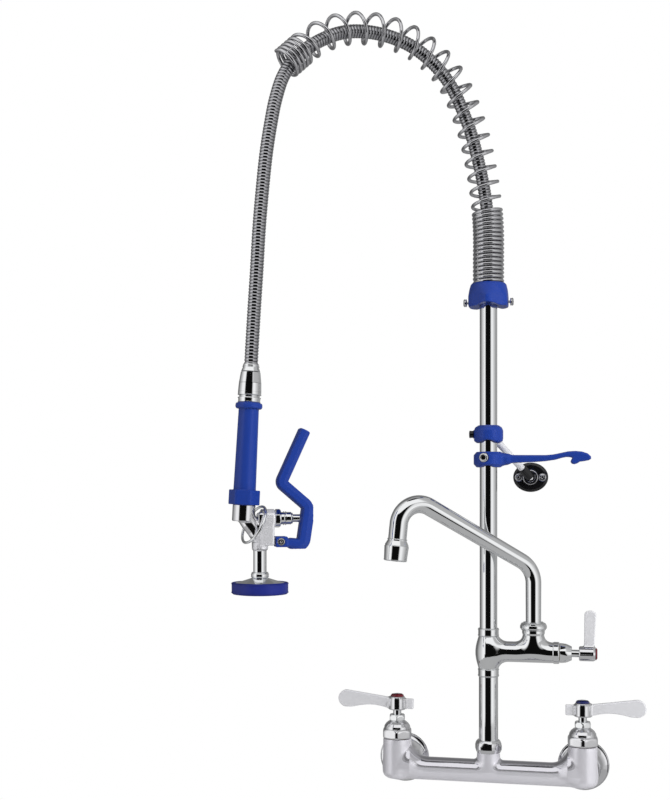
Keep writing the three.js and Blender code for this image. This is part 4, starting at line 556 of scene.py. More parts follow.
def collar_field(p):
    hex_sides = hexagon(p, 43)
    skirt = lathe(p, [(21.6, 510.4), (22.8, 511.6), (23, 520.5), (21.4, 524.8), (20.2, 528.6), (18.8, 533.4),
                      (17, 535.6)], 0.9)
    saddle = rod(p, (0, -30, 486.4), (0, 30, 486.4), 26.4)
    inside = rod(p, (0, 0, 518.5), (0, 0, 545), 17.7, 0.3)
    shell = bite(bite(-melt(-hex_sides, -skirt, 1.6), saddle, 1.2), inside, 0.6)
    return bite(shell, rod(p, (0, 0, 500), (0, 0, 530), RISER_BORE, 0.1), 0.5)


cast("collar_moulding", collar_field, (-25, -25, 508), (25, 25, 538), 0.75, blue, "spring_collar")
screw_steel = finish("screw_steel", (0.6, 0.6, 0.62), 1, 0.2, change=0.1)
for name, hand in (("left_thumb_screw", -1), ("right_thumb_screw", 1)):
    profile = [(0, RISER_BORE), (1.5, RISER_BORE), (1.5, 24.3, 0.1), (3.9, 24.3, 0.5), (3.9, 26.1, 0.5),
               (3.3, 26.7, 0.4), (0, 26.7)]
    turned(name + "_head", profile, upright(z=514.9, axis=(hand, 0, 0)), screw_steel, name, 48)

# ---- mixing body
# One brass casting, tumbled and satin plated: a bar with a valve at each end, a boss for the riser and
# two arms back to the supply nipples. Big fillets run from the bar up the valves, and its upper faces are
# buffed bright.
VALVE_X = 101.6  # half of the 8 inches between the inlets
cast_chrome = finish("cast_chrome", (0.75, 0.74, 0.79), 0.45, 0.3, change=0.05, marks=0.04,
                     mark_size=350, wave=0.15, bump=0.02)
polished = add(cast_chrome.node_tree, "ShaderNodeAttribute", attribute_name="polished").outputs["Fac"]
marks_node = next(n for n in cast_chrome.node_tree.nodes if n.type == "GROUP")
for goal, satin, bright in (
    (shader_of(cast_chrome).inputs["Metallic"], 0.45, 1), (marks_node.inputs["Gloss"], 0.3, 0.1),
):
    scale = {"Value": polished, "To Min": satin, "To Max": bright}
    cast_chrome.node_tree.links.new(add(cast_chrome.node_tree, "ShaderNodeMapRange", scale).outputs[0], goal)


def mixer_field(p):
    q = np.stack([np.abs(p[:, 0]), p[:, 1], p[:, 2]], 1)
    bar = rod(q, (-5, 0, -0.6), (VALVE_X, 0, -0.6), 12.6, 1)
    valve = rod(q, (VALVE_X, 0, -12.4), (VALVE_X, 0, 30), 15.7, 7)
    top = lathe(q, [(14.9, 5), (14.9, 28), (14.7, 31.2)], 0.8, (VALVE_X, 0, 0))
    arm = rod(q, (VALVE_X, 0, 0), (VALVE_X, 49, 0), 14, 1)
    gusset = rod(q, (VALVE_X - 18, 0, 1), (VALVE_X, 0, 9), 12.4, 9)
    boss = rod(q, (0, 0, 0), (0, 0, 22), 12.6, 0.8)
    sweep = 2 + 18 * np.clip((VALVE_X - q[:, 0]) / 16, 0, 1) * np.clip(1 + q[:, 2] / 9, 0, 1)
    body = melt(melt(bar, np.minimum(valve, top), sweep), gusset, sweep / 2)
    body = melt(melt(body, arm, 7), boss, 4.5)
    socket = rod(q, (VALVE_X, 33, 0), (VALVE_X, 60, 0), 10.5, 0.2)
    seat, riser = rod(q, (VALVE_X, 0, -8), (VALVE_X, 0, 40), 9.4, 0.2), rod(q, (0, 0, 16), (0, 0, 40), 10.7, 0.2)
    return bite(bite(body, socket, 0.6), np.minimum(seat, riser), 0.6)


casting = cast("mixer_casting", mixer_field, (-121, -20, -18), (121, 51, 34), 0.9, cast_chrome, "mixer_body")
brightness = casting.data.attributes.new("polished", "FLOAT", "POINT")
for vertex, shine in zip(casting.data.vertices, brightness.data):
    shine.value = max(0, min(1, (vertex.normal.z - 0.2) / 0.22))

# ---- wall flanges
# Bell-shaped spun covers, plated like the body. They slide over the arms and hide the holes in the wall.
for side, x in (("left", -VALVE_X), ("right", VALVE_X)):
    bell = [(14.3, 0.1), (28, 0.1, 0.5), (28, 2.5, 0.8)]
    for k in range(1, 13):
        angle = pi / 2 * k / 12
        bell.append((16.3 + 11.7 * (1 - sin(angle)), 2.5 + 24.5 * (1 - cos(angle))))
    bell.append((14.3, 27))
    turned(side + "_bell", bell, upright(x, 52, 0, (0, -1, 0)), bright_casting, side + "_wall_flange")

# ---- mixing valves and levers
# Quarter-turn valves: a domed hexagon bonnet, a packing nut and a plated stem. The die-cast levers have
# a polished hub with a coloured index on top, and a pale satin paddle.
paddle_satin = finish("satin_paddle", (0.76, 0.76, 0.79), 0.3, 0.4, change=0.08, marks=0.06, wave=0.1,
                      bump=0.03)
brass = finish("machined_brass", (0.52, 0.36, 0.14), 1, 0.3)
index_red = finish("index_red", (0.13, 0.006, 0.014), 0, 0.25, coat=0.4)
index_blue = finish("index_blue", (0.008, 0.012, 0.1), 0, 0.25, coat=0.4)


def mixing_valve(water, x, index_material):
    bonnet_field = partial(
        nut, flats=31.2, turn=0.12, ease=0.5, reach=1.2, bore=(4.9, 20, 60), bore_reach=0.4, origin=(x, 0, 0),
        outline=[(15.8, 32.9), (16.9, 33.8), (16.9, 39.6), (15.9, 41.4), (14.2, 42.4), (13.8, 45.2), (12, 48),
                 (9.2, 50.2)],
    )
    packing_field = partial(
        nut, flats=16.5, turn=0.1, ease=0.5, reach=0.7, bore=(4.9, 40, 66), bore_reach=0.3, origin=(x, 0, 0),
        outline=[(7.2, 50), (7.4, 51.4), (8.9, 52.6), (9.1, 55.4), (7.9, 57.6)],
    )
    cast(water + "_bonnet", bonnet_field, (x - 18, -18, 31), (x + 18, 18, 53), 0.6, bright_casting,
         water + "_bonnet_nut")
    cast(water + "_packing", packing_field, (x - 11, -11, 48), (x + 11, 11, 60), 0.5, chrome, water + "_packing_nut")
    handle = water + "_handle"
    spindle = [(0, 30), (4.4, 30), (4.5, 31), (4.5, 72), (0, 72)]
    turned(water + "_spindle", spindle, upright(x), chrome, water + "_stem", 48, body=handle)
    hand = -1 if water == "hot" else 1

    def lever_field(p):
        q = np.stack([(p[:, 0] - x) * -hand, p[:, 1], p[:, 2]], 1)
        hub = lathe(q, [(8.1, 64), (8.5, 64.6), (8.5, 75.4), (7.8, 77.3), (6.8, 78)], 0.6)
        lift = radians(3.5)
        tilt = np.array([[cos(lift), 0, -sin(lift)], [0, 1, 0], [sin(lift), 0, cos(lift)]])
        local = (q - (0, 0, 70.5)) @ tilt.T
        blade = plate(local, paddle_outline, 2.7, 1.3)
        tab = block(q, (0, -2.7, 64.6), (18.3, 2.7, 75.7), 1)
        rest = rod(q, (0, 0, 76.4), (0, 0, 90), 7.1, 0.1)
        return bite(melt(melt(hub, blade, 3), tab, 2), rest, 0.3)

    middle = x + hand * 26
    lever = cast(water + "_lever_casting", lever_field, (middle - 46, -11, 60), (middle + 46, 11, 86), 0.6,
                 bright_casting, water + "_lever", body=handle, slot="lever_satin")

    def out(spot):
        """How far a place is from the lever's axis."""
        return hypot(spot.x - x / 1000, spot.y - RISER_Y)

    repaint(lever, paddle_satin, lambda spot: out(spot) > 0.0104)
    button = turned(
        water + "_button",
        [(0, 76.7), (6.9, 76.7), (7, 77.2), (7, 79.3, 0.6), (5.9, 80, 0.4), (4.1, 80.1, 0.1), (3.9, 79.7, 0.1),
         (0, 79.9)],
        upright(x), index_material, water + "_index_button", 48, body=handle,
    )
    repaint(button, screw_steel, lambda spot: out(spot) < 0.0039 and spot.z > 0.079)


steps = [k / 24 for k in range(25)]  # the root narrows to a waist and swells to the round paddle
paddle_outline = [(-5.8 - 51.8 * t, -7.3 + 3.4 * sin(pi * min(1, t * 1.15)) - 2.2 * t * t) for t in steps]
angles = [-pi / 2 - pi * k / 18 for k in range(1, 18)]
paddle_outline += [(-57.6 + 9.5 * cos(a), 9.5 * sin(a)) for a in angles]
paddle_outline += [(-57.6 + 51.8 * t, 9.5 - 3.9 * t) for t in steps]

mixing_valve("hot", -VALVE_X, index_red)
mixing_valve("cold", VALVE_X, index_blue)


def recolour(material, *nodes):
    """A material for nodes that are shown as they are."""
    for node in nodes:
        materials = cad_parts[node].data.materials
        materials.clear()
        materials.append(material)


recolour(brass, "hot_cartridge", "cold_cartridge", "spout_valve_cartridge")
recolour(screw_steel, "hot_lever_screw", "cold_lever_screw")
base_nut_field = partial(
    nut, flats=27.6, turn=0.35, ease=0.6, reach=2, bore=(10.6, 10, 50), bore_reach=0.4,
    outline=[(12.6, 20.9), (13.2, 22), (14.6, 24.4), (14.8, 28), (13.6, 31.2), (11.8, 33.4)],
)
cast("base_nut", base_nut_field, (-16, -16, 19), (16, 16, 36), 0.6, bright_casting, "riser_base_nut")

# ---- add-on valve
# A polished casting let into the riser: a barrel, a side arm with its own quarter-turn valve, and an
# outlet on which the spout stands. Its lever points up when it is shut.
SIDE_ARM = 131.5  # the height of the side arm's axis
OUTLET_X = 48.9  # of the outlet and the spout's foot


def add_on_field(p):
    bulge = [(10.4 + 3.4 * sin(pi * k / 16), 113 + 34.5 * (k / 16)) for k in range(17)]
    core = lathe(p, bulge, 0.5)
    arm = lathe(p, [(10.9, 0), (10.9, 70.2), (11.6, 71), (11.6, 75.8), (10.9, 76.7)], 0.3, (0, 0, SIDE_ARM), 0)
    outlet = rod(p, (OUTLET_X, 0, SIDE_ARM), (OUTLET_X, 0, 156), 11.4, 0.8)
    mouthed = rod(p, (OUTLET_X, 0, 152), (OUTLET_X, 0, 156), 12, 0.8)
    body = melt(melt(core, arm, 9), outlet, 10)
    body = melt(body, mouthed, 2)
    return bite(body, rod(p, (0, 0, 100), (0, 0, 160), 7.5, 0.1), 0.4)


cast("add_on_casting", add_on_field, (-16, -16, 111), (79, 16, 158), 0.7, chrome, "add_on_body")
side_bonnet_field = partial(
    nut, flats=20.6, turn=0.2, ease=0.4, reach=1.5, bore=(4.4, 70, 100), bore_reach=0.3, origin=(0, 0, SIDE_ARM),
    axis=0, outline=[(10.9, 77.6), (10.9, 79), (10.1, 83.4), (7.2, 89.6)],
)
cast("side_bonnet", side_bonnet_field, (76, -13, 118), (92, 13, 145), 0.5, chrome, "spout_valve_bonnet")
side_place = upright(0, 0, SIDE_ARM, (1, 0, 0))
spindle = [(0, 72), (4, 72), (4, 109), (0, 109)]
turned("side_spindle", spindle, side_place, chrome, "spout_valve_stem", 48, body="spout_valve_handle")


def side_lever_field(p):
    hub = lathe(p, [(6.9, 98.3), (7.4, 99), (7.4, 112.9), (6.6, 114.6)], 0.6, (0, 0, SIDE_ARM), 0)
    tall = [(-5.3, 2), (-5.9, 28), (-6.3, 42)]
    tall += [(-6.3 * cos(pi * k / 10), 42 + 4.8 * sin(pi * k / 10)) for k in range(1, 11)]
    tall += [(5.9, 28), (5.3, 2)]
    lean = radians(2)
    q = p - (108.2, 0, SIDE_ARM)
    x = q[:, 0] * cos(lean) - q[:, 2] * sin(lean)
    z = q[:, 0] * sin(lean) + q[:, 2] * cos(lean)
    blade = plate(np.stack([x, q[:, 1], z], 1), tall, 2.5, 1.1)
    return bite(melt(hub, blade, 2.5), rod(p, (113.5, 0, SIDE_ARM), (120, 0, SIDE_ARM), 6.4, 0.1), 0.3)


side_lever = cast("side_lever_casting", side_lever_field, (96, -10, 122), (118, 10, 181), 0.5, bright_casting,
                  "spout_valve_lever", body="spout_valve_handle", slot="lever_satin")
repaint(side_lever, paddle_satin, lambda spot: spot.z > 0.1403)
turned("side_button", [(0, 113.9), (6.1, 113.9), (6.1, 116, 0.5), (5.1, 116.6, 0.4), (0, 116.8)],
       side_place, index_red, "spout_valve_index", 48, body="spout_valve_handle")

# ---- swing spout
# Chrome-plated tube, bent twice and widening gently to its tip, where the aerator sits. It turns in the
# outlet under a round nut, and stands a little in front of the faucet's plane.


def bent(corners, step=4):
    """A line with round bends from corners given as (x, z, bend radius), with a point at each step in degrees."""
    line = [Vector((corners[0][0], 0, corners[0][1]))]
    for before, here, after in zip(corners, corners[1:], corners[2:]):
        a, b, c = (Vector((p[0], 0, p[1])) for p in (before, here, after))
        come, leave = (b - a).normalized(), (c - b).normalized()
        turn = come.angle(leave)
        start = b - come * here[2] * tan(turn / 2)
        centre = b + (leave - come).normalized() * (here[2] / cos(turn / 2))
        axis = come.cross(leave).normalized()
        steps = max(2, ceil(degrees(turn) / step))
        for k in range(steps + 1):
            line.append(centre + Matrix.Rotation(turn * k / steps, 3, axis) @ (start - centre))
    return line + [Vector((corners[-1][0], 0, corners[-1][1]))]


spout_line = bent([(0, 148.3), (0, 223.5, 28), (151.2, 307.6, 23), (156.4, 256.57)])
tip = spout_line.pop()
last = spout_line[-1]
spout_line += [last.lerp(tip, s) for s in (0.3, 0.45, 0.6, 0.75, 1)]
spout_radii = [8.2 + 1.3 * max(0, min(1, (spot.x - 10) / 150)) + 0.3 * (spot.z > 170) for spot in spout_line]
spout_place = Matrix.Translation((OUTLET_X / 1000, RISER_Y, 0)) @ Matrix.Rotation(radians(180 + 28), 4, "Z")
across, rings, final = Vector((0, 1, 0)), [], len(spout_line) - 1
for i, thinner in [(i, 0) for i in range(final + 1)] + [(i, 1.6) for i in range(final, -1, -1)]:  # out, then in
    up = (spout_line[min(i + 1, final)] - spout_line[max(i - 1, 0)]).normalized().cross(across)
    spokes = [across * cos(2 * pi * k / 64) + up * sin(2 * pi * k / 64) for k in range(64)]
    rings.append([spout_place @ ((spout_line[i] + spoke * (spout_radii[i] - thinner)) / 1000) for spoke in spokes])
skinned("spout_tube", rings, True, chrome, "spout", body="spout_arm")
drop = (tip - spout_line[-2]).normalized()
facing = Vector((0, 0, 1)).rotation_difference(-drop).to_matrix().to_4x4()
nozzle_place = spout_place @ Matrix.Translation((tip + drop * 19.3) / 1000) @ facing
turned(
    "aerator_shell",
    [(9.8, 1, 0.2), (9.8, -3.4, 0.3), (11.4, -3.4, 0.5), (12.1, -2.6, 0.5), (13, 12.4, 1.6), (10.3, 17.6, 0.8),
     (10, 19, 0.2), (6.7, 19), (6.7, 1, 0.2)],
    nozzle_place, chrome, "aerator", body="spout_arm")
turned(
    "spout_ring",
    [(8.3, 156.3, 0.2), (12.9, 156.3, 0.6), (14.5, 158, 1), (14.5, 161.4, 1.4), (12.9, 163.2, 0.8), (10.5, 164.3, 0.5),
     (8.3, 164.3, 0.2)],
    upright(OUTLET_X), chrome, "spout_nut")

# ---- wall bracket
# A blue moulded clamp grips the riser with a black screw. A plated rod runs back from it into a socket
# on a black moulded plate, which two screws hold to the wall, with a steel hub in its middle.
rod_head, rod_foot = np.array((0, 0, 372.2)), np.array((41, 43.5, 325.0))
rod_run = (rod_foot - rod_head) / np.linalg.norm(rod_foot - rod_head)


def clamp_field(p):
    barrel = lathe(p, [(12.4, 361.8), (14.2, 363.2), (14.6, 365.8), (14.6, 373.6), (13.4, 376.4), (10.6, 378.2)], 1.5)
    saddle = rod(p, (0, -30, 349.8), (0, 30, 349.8), 13.8)
    socket = rod(p, (0, 0, 372), rod_foot, 4.2, 0.1)
    return bite(bite(bite(barrel, saddle, 1.5), rod(p, (0, 0, 350), (0, 0, 390), RISER_BORE, 0.1), 0.5), socket, 0.4)


cast("clamp_moulding", clamp_field, (-18, -18, 359), (18, 18, 381.5), 0.7, blue, "bracket_clamp")
black = finish("black_moulding", (0.006, 0.006, 0.007), 0, 0.16, change=0.08, marks=0.08, bump=0.03)
turned(
    "clamp_screw",
    [(0, RISER_BORE), (2.4, RISER_BORE), (2.4, 16.4, 0.1), (3.9, 16.4, 0.3), (3.9, 20.6, 0.6), (0, 20.6)],
    upright(0, 0, 369.95, (-1, 0, 0)), black, "bracket_clamp_screw", 48)
rod_start = rod_head + rod_run * (12.6 / hypot(rod_run[0], rod_run[1]))
rod_stop = rod_head + rod_run * ((43.4 - 0.3) / rod_run[1])


def bracket_rod_field(p):
    shank = rod(p, rod_start, rod_stop + rod_run * 6, 3.85, 0.3)
    return np.maximum(shank, p[:, 1] - 43.35)


cast("bracket_arm", bracket_rod_field, (2, 4, 318), (46, 45, 368), 0.45, paddle_satin, "bracket_rod")
PLATE = (43, 52, 323)  # the middle of the plate, on the wall
SCREW_X = 13.2  # from the plate's middle to each screw


def wall_plate_field(p):
    q = p - PLATE
    oval = (np.hypot(q[:, 0] / 19.8, q[:, 2] / 16.85) - 1) * 16.85
    slope = np.maximum(-q[:, 1] - 5, -q[:, 1] - 5 + (oval + 3) * 0.5)
    disc = np.maximum(np.maximum(oval, slope), q[:, 1])
    socket = rod(p, rod_foot - rod_run * 13, rod_foot + rod_run * 3, 5.2, 1.2)
    wells = np.minimum(*(rod(q, (x, -9, 0), (x, 1, 0), 2.3, 0.1) for x in (-SCREW_X, SCREW_X)))
    return np.minimum(bite(disc + 0.2, wells, 0.3), np.maximum(socket, p[:, 1] - 50))


cast("wall_plate", wall_plate_field, (22, 30, 304), (65, 53, 346), 0.5, black, "bracket_wall_flange")
turned(
    "bracket_ring",
    [(0, 5.3), (8.5, 5.3, 0.2), (8.5, 7.1, 0.6), (7.7, 8.3, 0.4), (5.6, 8.3, 0.3), (5.4, 7.4, 0.2), (0, 7.4)],
    upright(*PLATE, (0, -1, 0)), screw_steel, "bracket_hub", 64)
for name, x in (("bracket_screw_left", -SCREW_X), ("bracket_screw_right", SCREW_X)):
    profile = [(0, 0.2), (2, 0.2), (2, 5.3, 0.1), (4.4, 5.3, 0.2), (3.9, 6.8, 0.8), (1.8, 7.4, 0.2), (1.6, 6.5, 0.1),
               (0, 6.5)]
    turned(name + "_head", profile, upright(PLATE[0] + x, *PLATE[1:], (0, -1, 0)), screw_steel, name, 48)

# ---- finger hook
# A blue moulding that clips round the riser: a clamp with a set screw, and a long finger that rises to a
# blunt nose with a barb, from which the spray is hung.
finger = [
    (6, -5.2), (18, -4), (50, -2.9), (62, -2), (72, -0.6), (79, 1.4), (84, 2.4), (88, 2.2), (90.6, 1.3), (89.4, -0.6),
    (88.6, -3), (90, -4.9), (92.6, -5.5), (95.6, -4.6), (98.6, -2.7), (103, -2.2), (108, -1.2), (110.6, 0.4),
    (110.4, 3), (107, 6.2), (101, 8.2), (94, 8.9), (86, 8.5), (78, 6.8), (70, 5.2), (62, 4.6), (18, 5), (6, 5.8),
]
HOOK_Z = 342  # the height of the hook's middle
screw_way = [-sin(radians(13)), -cos(radians(13)), 0]  # the set screw, 13 degrees round


def hook_field(p):
    q = p - (0, 0, HOOK_Z)
    barrel = lathe(q, [(12.4, -7), (14.7, -4.4), (14.7, 4.4), (12.4, 7)], 1.5)
    shoulder = rod(q, (6, 0, 0), (24, 0, 0.4), 6.2, 5)
    arm = plate(q, finger, 4.75, 2.2)
    body = melt(melt(barrel, shoulder, 4), arm, 4)
    saddle = rod(q, (0, -30, -20.3), (0, 30, -20.3), 13.8)
    seat = rod(q, (0, 0, 2), (screw_way[0] * 22, screw_way[1] * 22, 2), 5.1, 0.1)
    return bite(bite(bite(body, saddle, 1.5), rod(q, (0, 0, -20), (0, 0, 20), RISER_BORE, 0.1), 0.5), seat, 0.4)


cast("hook_moulding", hook_field, (-18, -18, 332), (113, 18, 353), 0.75, blue, "finger_hook", body="hook")
out = Vector(screw_way)
socket_screw = turned(
    "socket_screw",
    [(0, 10.2), (4.2, 10.2), (4.8, 10.8), (4.8, 17, 0.7), (3.5, 17.8, 0.5), (2.6, 17, 0.2), (2.6, 14.6), (0, 14.6)],
    upright(0, 0, HOOK_Z + 2, out), chrome, "hook_set_screw", 48, body="hook")
screw_foot = upright(0, 0, HOOK_Z + 2).translation
# The faces inside the head's socket are painted black: painted shade in the recess of a chrome screw.
repaint(socket_screw, black, lambda spot: (spot - screw_foot - out * (spot - screw_foot).dot(out)).length < 0.00265)

# ---- hose ferrule
# A swaged, plated sleeve on the hose's end, with a swivel ring that turns in the grip's top. From here on
# places are measured from the grip's lower end, in the spray valve's own plane.
spray_plane = arch_plane @ Matrix.Translation((-0.2809, 0, 0.2944)) @ Matrix.Rotation(radians(23) - ARCH_TURN, 4, "Z")
LEAN = radians(2.95)  # of the grip, its top to the right
grip_place = spray_plane @ Matrix.Rotation(LEAN, 4, "Y")
turned(
    "swaged_ferrule",
    [(4.1, 103.5), (11.1, 103.5, 0.5), (11.3, 107.8, 0.4), (10.4, 108.8, 0.4), (10.4, 110, 0.4), (11.8, 111, 0.7),
     (11.85, 114, 2), (11.4, 123, 3), (9.9, 134.4, 3), (8.4, 138.4, 0.8), (8.1, 139.4, 0.3), (7.7, 139.8, 0.2),
     (7.8, 140.8, 0.4), (7.5, 142, 0.4), (4.1, 142)],
    grip_place, chrome, "hose_ferrule", body="hose_end")

# ---- hand grip
# A blue insulating sleeve, slightly tapered, with a rolled ring at the top and a hexagon below for the
# spanner.


def along_grip(p):
    """Points in the grip's own frame: its foot at the origin and its axis up."""
    x, z = p[:, 0] * cos(LEAN) - p[:, 2] * sin(LEAN), p[:, 0] * sin(LEAN) + p[:, 2] * cos(LEAN)
    return np.stack([x, p[:, 1], z], 1)


def grip_field(p):
    q = along_grip(p)
    sleeve = lathe(q, [(10.7, 1.5), (10.9, 15.2), (9.8, 97), (10.2, 98.4)], 0.5)
    ring = lathe(q, [(12, 98.2), (12.4, 99.3), (12.2, 101.2), (10.8, 101.8)], 1.4)
    hex_sides = hexagon(q, 28.6, 0.3)
    spanner_end = -melt(-hex_sides, -rod(q, (0, 0, -0.8), (0, 0, 14.2), 16, 1), 1)
    body = melt(melt(sleeve, ring, 1), spanner_end, 0.8)
    return bite(body, rod(q, (0, 0, -5), (0, 0, 110), 4.1, 0.1), 0.4)


cast("grip_sleeve", grip_field, (-16, -16, -2), (21, 16, 106), 0.7, blue, "hand_grip", spray_plane, body="spray")

# ---- spray valve body
# A plated brass casting: an inlet elbow under the grip, a flat-sided block that holds the sprung plunger,
# a lug for the lever and a collar above the neck.
PLUNGER_Z = -14.6  # the plunger's axis, below the grip
PIVOT_X, PIVOT_Z = 37.2, -38.3  # the squeeze lever's axis
NECK_X = 16.4  # the axis of the neck and the cone
elbow_line = [(1.6, -12.5, 8.8), (5.6, -18.8, 8.9), (10.8, -25.6, 8.7), (14.6, -32, 8.3), (16.2, -38, 7.9),
              (NECK_X, -44, 7.7)]
spray_satin = finish("spray_satin", (0.74, 0.74, 0.77), 0.4, 0.24, change=0.08, marks=0.05, mark_size=350,
                     wave=0.2, bump=0.03)


def spray_body_field(p):
    q = along_grip(p)
    stub = rod(q, (0.3, 0, -17.6), (0.3, 0, -0.4), 11.6, 1.1)
    elbow = np.full(len(p), np.inf)
    for (x0, z0, r0), (x1, z1, r1) in zip(elbow_line, elbow_line[1:]):
        a, span = np.array((x0, 0, z0)), np.array((x1 - x0, 0, z1 - z0))
        t = np.clip((p - a) @ span / (span @ span), 0, 1)
        off = np.linalg.norm(p - a - t[:, None] * span, axis=1) - (r0 + (r1 - r0) * t)
        elbow = np.minimum(elbow, off)
    flat_block = block(p, (13.5, -9, -42.2), (30.4, 9, -9), 2.2)
    barrel = rod(p, (17, 0, PLUNGER_Z), (31, 0, PLUNGER_Z), 9.4, 0.9)
    collar = rod(p, (NECK_X, 0, -46.3), (NECK_X, 0, -39), 7.9, 0.7)
    lug = melt(rod(p, (PIVOT_X, -2.8, PIVOT_Z), (PIVOT_X, 2.8, PIVOT_Z), 4.6, 0.5),
               block(p, (26, -2.8, -41.8), (37, 2.8, -34), 0.7), 1.6)
    body = melt(melt(stub, elbow, 1.8), melt(flat_block, barrel, 2.5), 2)
    body = melt(melt(body, collar, 1.6), lug, 1.6)
    bore = rod(p, (16, 0, PLUNGER_Z), (34, 0, PLUNGER_Z), 6.8, 0.1)
    pin = rod(p, (PIVOT_X, -8, PIVOT_Z), (PIVOT_X, 8, PIVOT_Z), 2.5, 0.1)
    return bite(bite(body, np.minimum(bore, pin), 0.4), rod(q, (0, 0, -8), (0, 0, 5), 4, 0.1), 0.4)


spray_casting = cast("spray_casting", spray_body_field, (-14, -13.5, -48.5), (44, 13.5, 2), 0.5, bright_casting,
                     "spray_body", spray_plane, body="spray", slot="chrome")


def on_block(spot):
    """The elbow is polished, the block only satin."""
    spot = spray_plane.inverted() @ spot * 1000
    return spot.x > 13.7 + 0.28 * (spot.z + 26) and spot.z > -45.5


repaint(spray_casting, spray_satin, on_block)
spray_nut_field = partial(
    nut, flats=17.3, turn=0.15, ease=0.4, reach=0.9, bore=(7.1, 20, 50), bore_reach=0.3, origin=(0, 0, PLUNGER_Z),
    axis=0, outline=[(8.5, 31.8), (9.3, 32.5), (9.3, 35.9), (8.3, 37)],
)
cast("spray_nut", spray_nut_field, (30, -12, -26), (39.5, 12, -3), 0.45, chrome, "spray_packing_nut", spray_plane,
     body="spray")
turned(
    "plunger_pin",
    [(0, 25.7), (3.4, 25.7, 0.4), (3.4, 33.2), (6.35, 33.2), (6.35, 40.6, 0.3), (5.8, 41.2, 0.2), (5.8, 42.2, 0.2),
     (6.35, 42.8, 0.3), (6.35, 48, 0.9), (5.2, 49.3, 0.5), (4, 49.3, 0.3), (4, 57.3, 0.9), (2.8, 58.5, 0.5), (0, 58.5)],
    upright(0, 0, PLUNGER_Z, (1, 0, 0), spray_plane), chrome, "spray_plunger", 64, body="plunger")
recolour(spring_steel, "plunger_spring")

# ---- squeeze lever
# A blue-dipped strap, bent from its fork round the plunger and up beside the grip. It turns on a steel
# screw through the lug.
strap_corners = [(36.4, -38.8), (58.8, -40.6, 5.3), (64.4, -2.7, 6.2), (36.6, 21.1, 6.2), (61.5, 76)]
strap = [(v.x, v.z) for v in bent(strap_corners, 8)]


def lever_strap_field(p):
    flat = p[:, [0, 2]]
    gap, inner = np.full(len(p), np.inf), np.zeros(len(p), bool)
    for a, b in zip(strap, strap[1:]):
        a, b = np.array(a), np.array(b)
        t = np.clip((flat - a) @ (b - a) / ((b - a) @ (b - a)), 0, 1)[:, None]
        off = flat - a - (b - a) * t
        closer = (off ** 2).sum(1) < gap
        gap = np.minimum(gap, (off ** 2).sum(1))
        inner[closer] = ((b - a)[0] * off[:, 1] - (b - a)[1] * off[:, 0] > 0)[closer]
    gap = np.sqrt(gap)
    ends = (flat - strap[-1]) @ np.array((0.413, 0.911))
    past_fork = (p[:, 0] - 42) / 6 + np.maximum(p[:, 2] + 30, 0)
    swell = np.clip((8.4 - np.abs(p[:, 1])) / 3.5, 0, 1) * np.clip(past_fork, 0, 1)
    upright_part = np.clip((p[:, 0] - 46) / 8, 0, 1) * np.clip(-p[:, 2] / 10, 0, 1)
    rib = np.where(inner, 1.6, 3.4 + 1.6 * upright_part) * swell
    arm = rounded_off(rounded_off(gap - 3.4 - rib, ends, 1.8), np.abs(p[:, 1]) - 8.8, 1.3)
    eye = block(p, (31.6, -8.8, -43.9), (44, 8.8, -33.1), 1.3)
    fork = block(p, (26, -3.15, -50), (43.8, 3.15, -27), 0.3)
    pin = rod(p, (PIVOT_X, -20, PIVOT_Z), (PIVOT_X, 20, PIVOT_Z), 2.55, 0.1)
    well = rod(p, (PIVOT_X, -20, PIVOT_Z), (PIVOT_X, -7, PIVOT_Z), 3.8, 0.1)
    return bite(bite(melt(arm, eye, 1.5), fork, 0.4), np.minimum(pin, well), 0.3)


cast("lever_strap", lever_strap_field, (29.5, -11, -46), (70.5, 11, 82), 0.55, blue, "squeeze_lever", spray_plane,
     body="spray_lever")
turned(
    "pivot_screw",
    [(0, -9.2), (2.2, -9.2), (2.2, 7.3, 0.1), (3.5, 7.3, 0.2), (3.5, 8.6, 0.3), (2.8, 9.3, 0.4), (1.4, 9.3, 0.2),
     (1.3, 8.3), (0, 8.3)],
    upright(PIVOT_X, 0, PIVOT_Z, (0, -1, 0), spray_plane), screw_steel, "lever_pivot_screw", 48, body="spray")

# ---- hold-down ring
# A loose ring of plated wire on the elbow. Slipped over the squeezed lever, it keeps the spray running.
OPENED = 9  # degrees that the ring has tipped about its long axis
long_way = Vector((0.511, -0.217, 0.832)).normalized()
face_way = Vector((-0.857, -0.125, 0.49))
face_way = (face_way - long_way * face_way.dot(long_way)).normalized()
third = Matrix.Rotation(radians(OPENED), 3, long_way) @ face_way.cross(long_way)
face_way = long_way.cross(third)
hoop_centre = Vector((10.3, 0, -21))
rings, angles = [], [2 * pi * k / 16 for k in range(16)]
for i in range(96):
    around = 2 * pi * i / 96
    spoke = long_way * cos(around) + third * sin(around)
    ring = [hoop_centre + spoke * (20.35 + 1.4 * cos(b)) + face_way * 1.4 * sin(b) for b in angles]
    rings.append(placed(ring, spray_plane))
skinned("wire_ring", rings, True, chrome, "hold_down_ring", body="hold_ring")

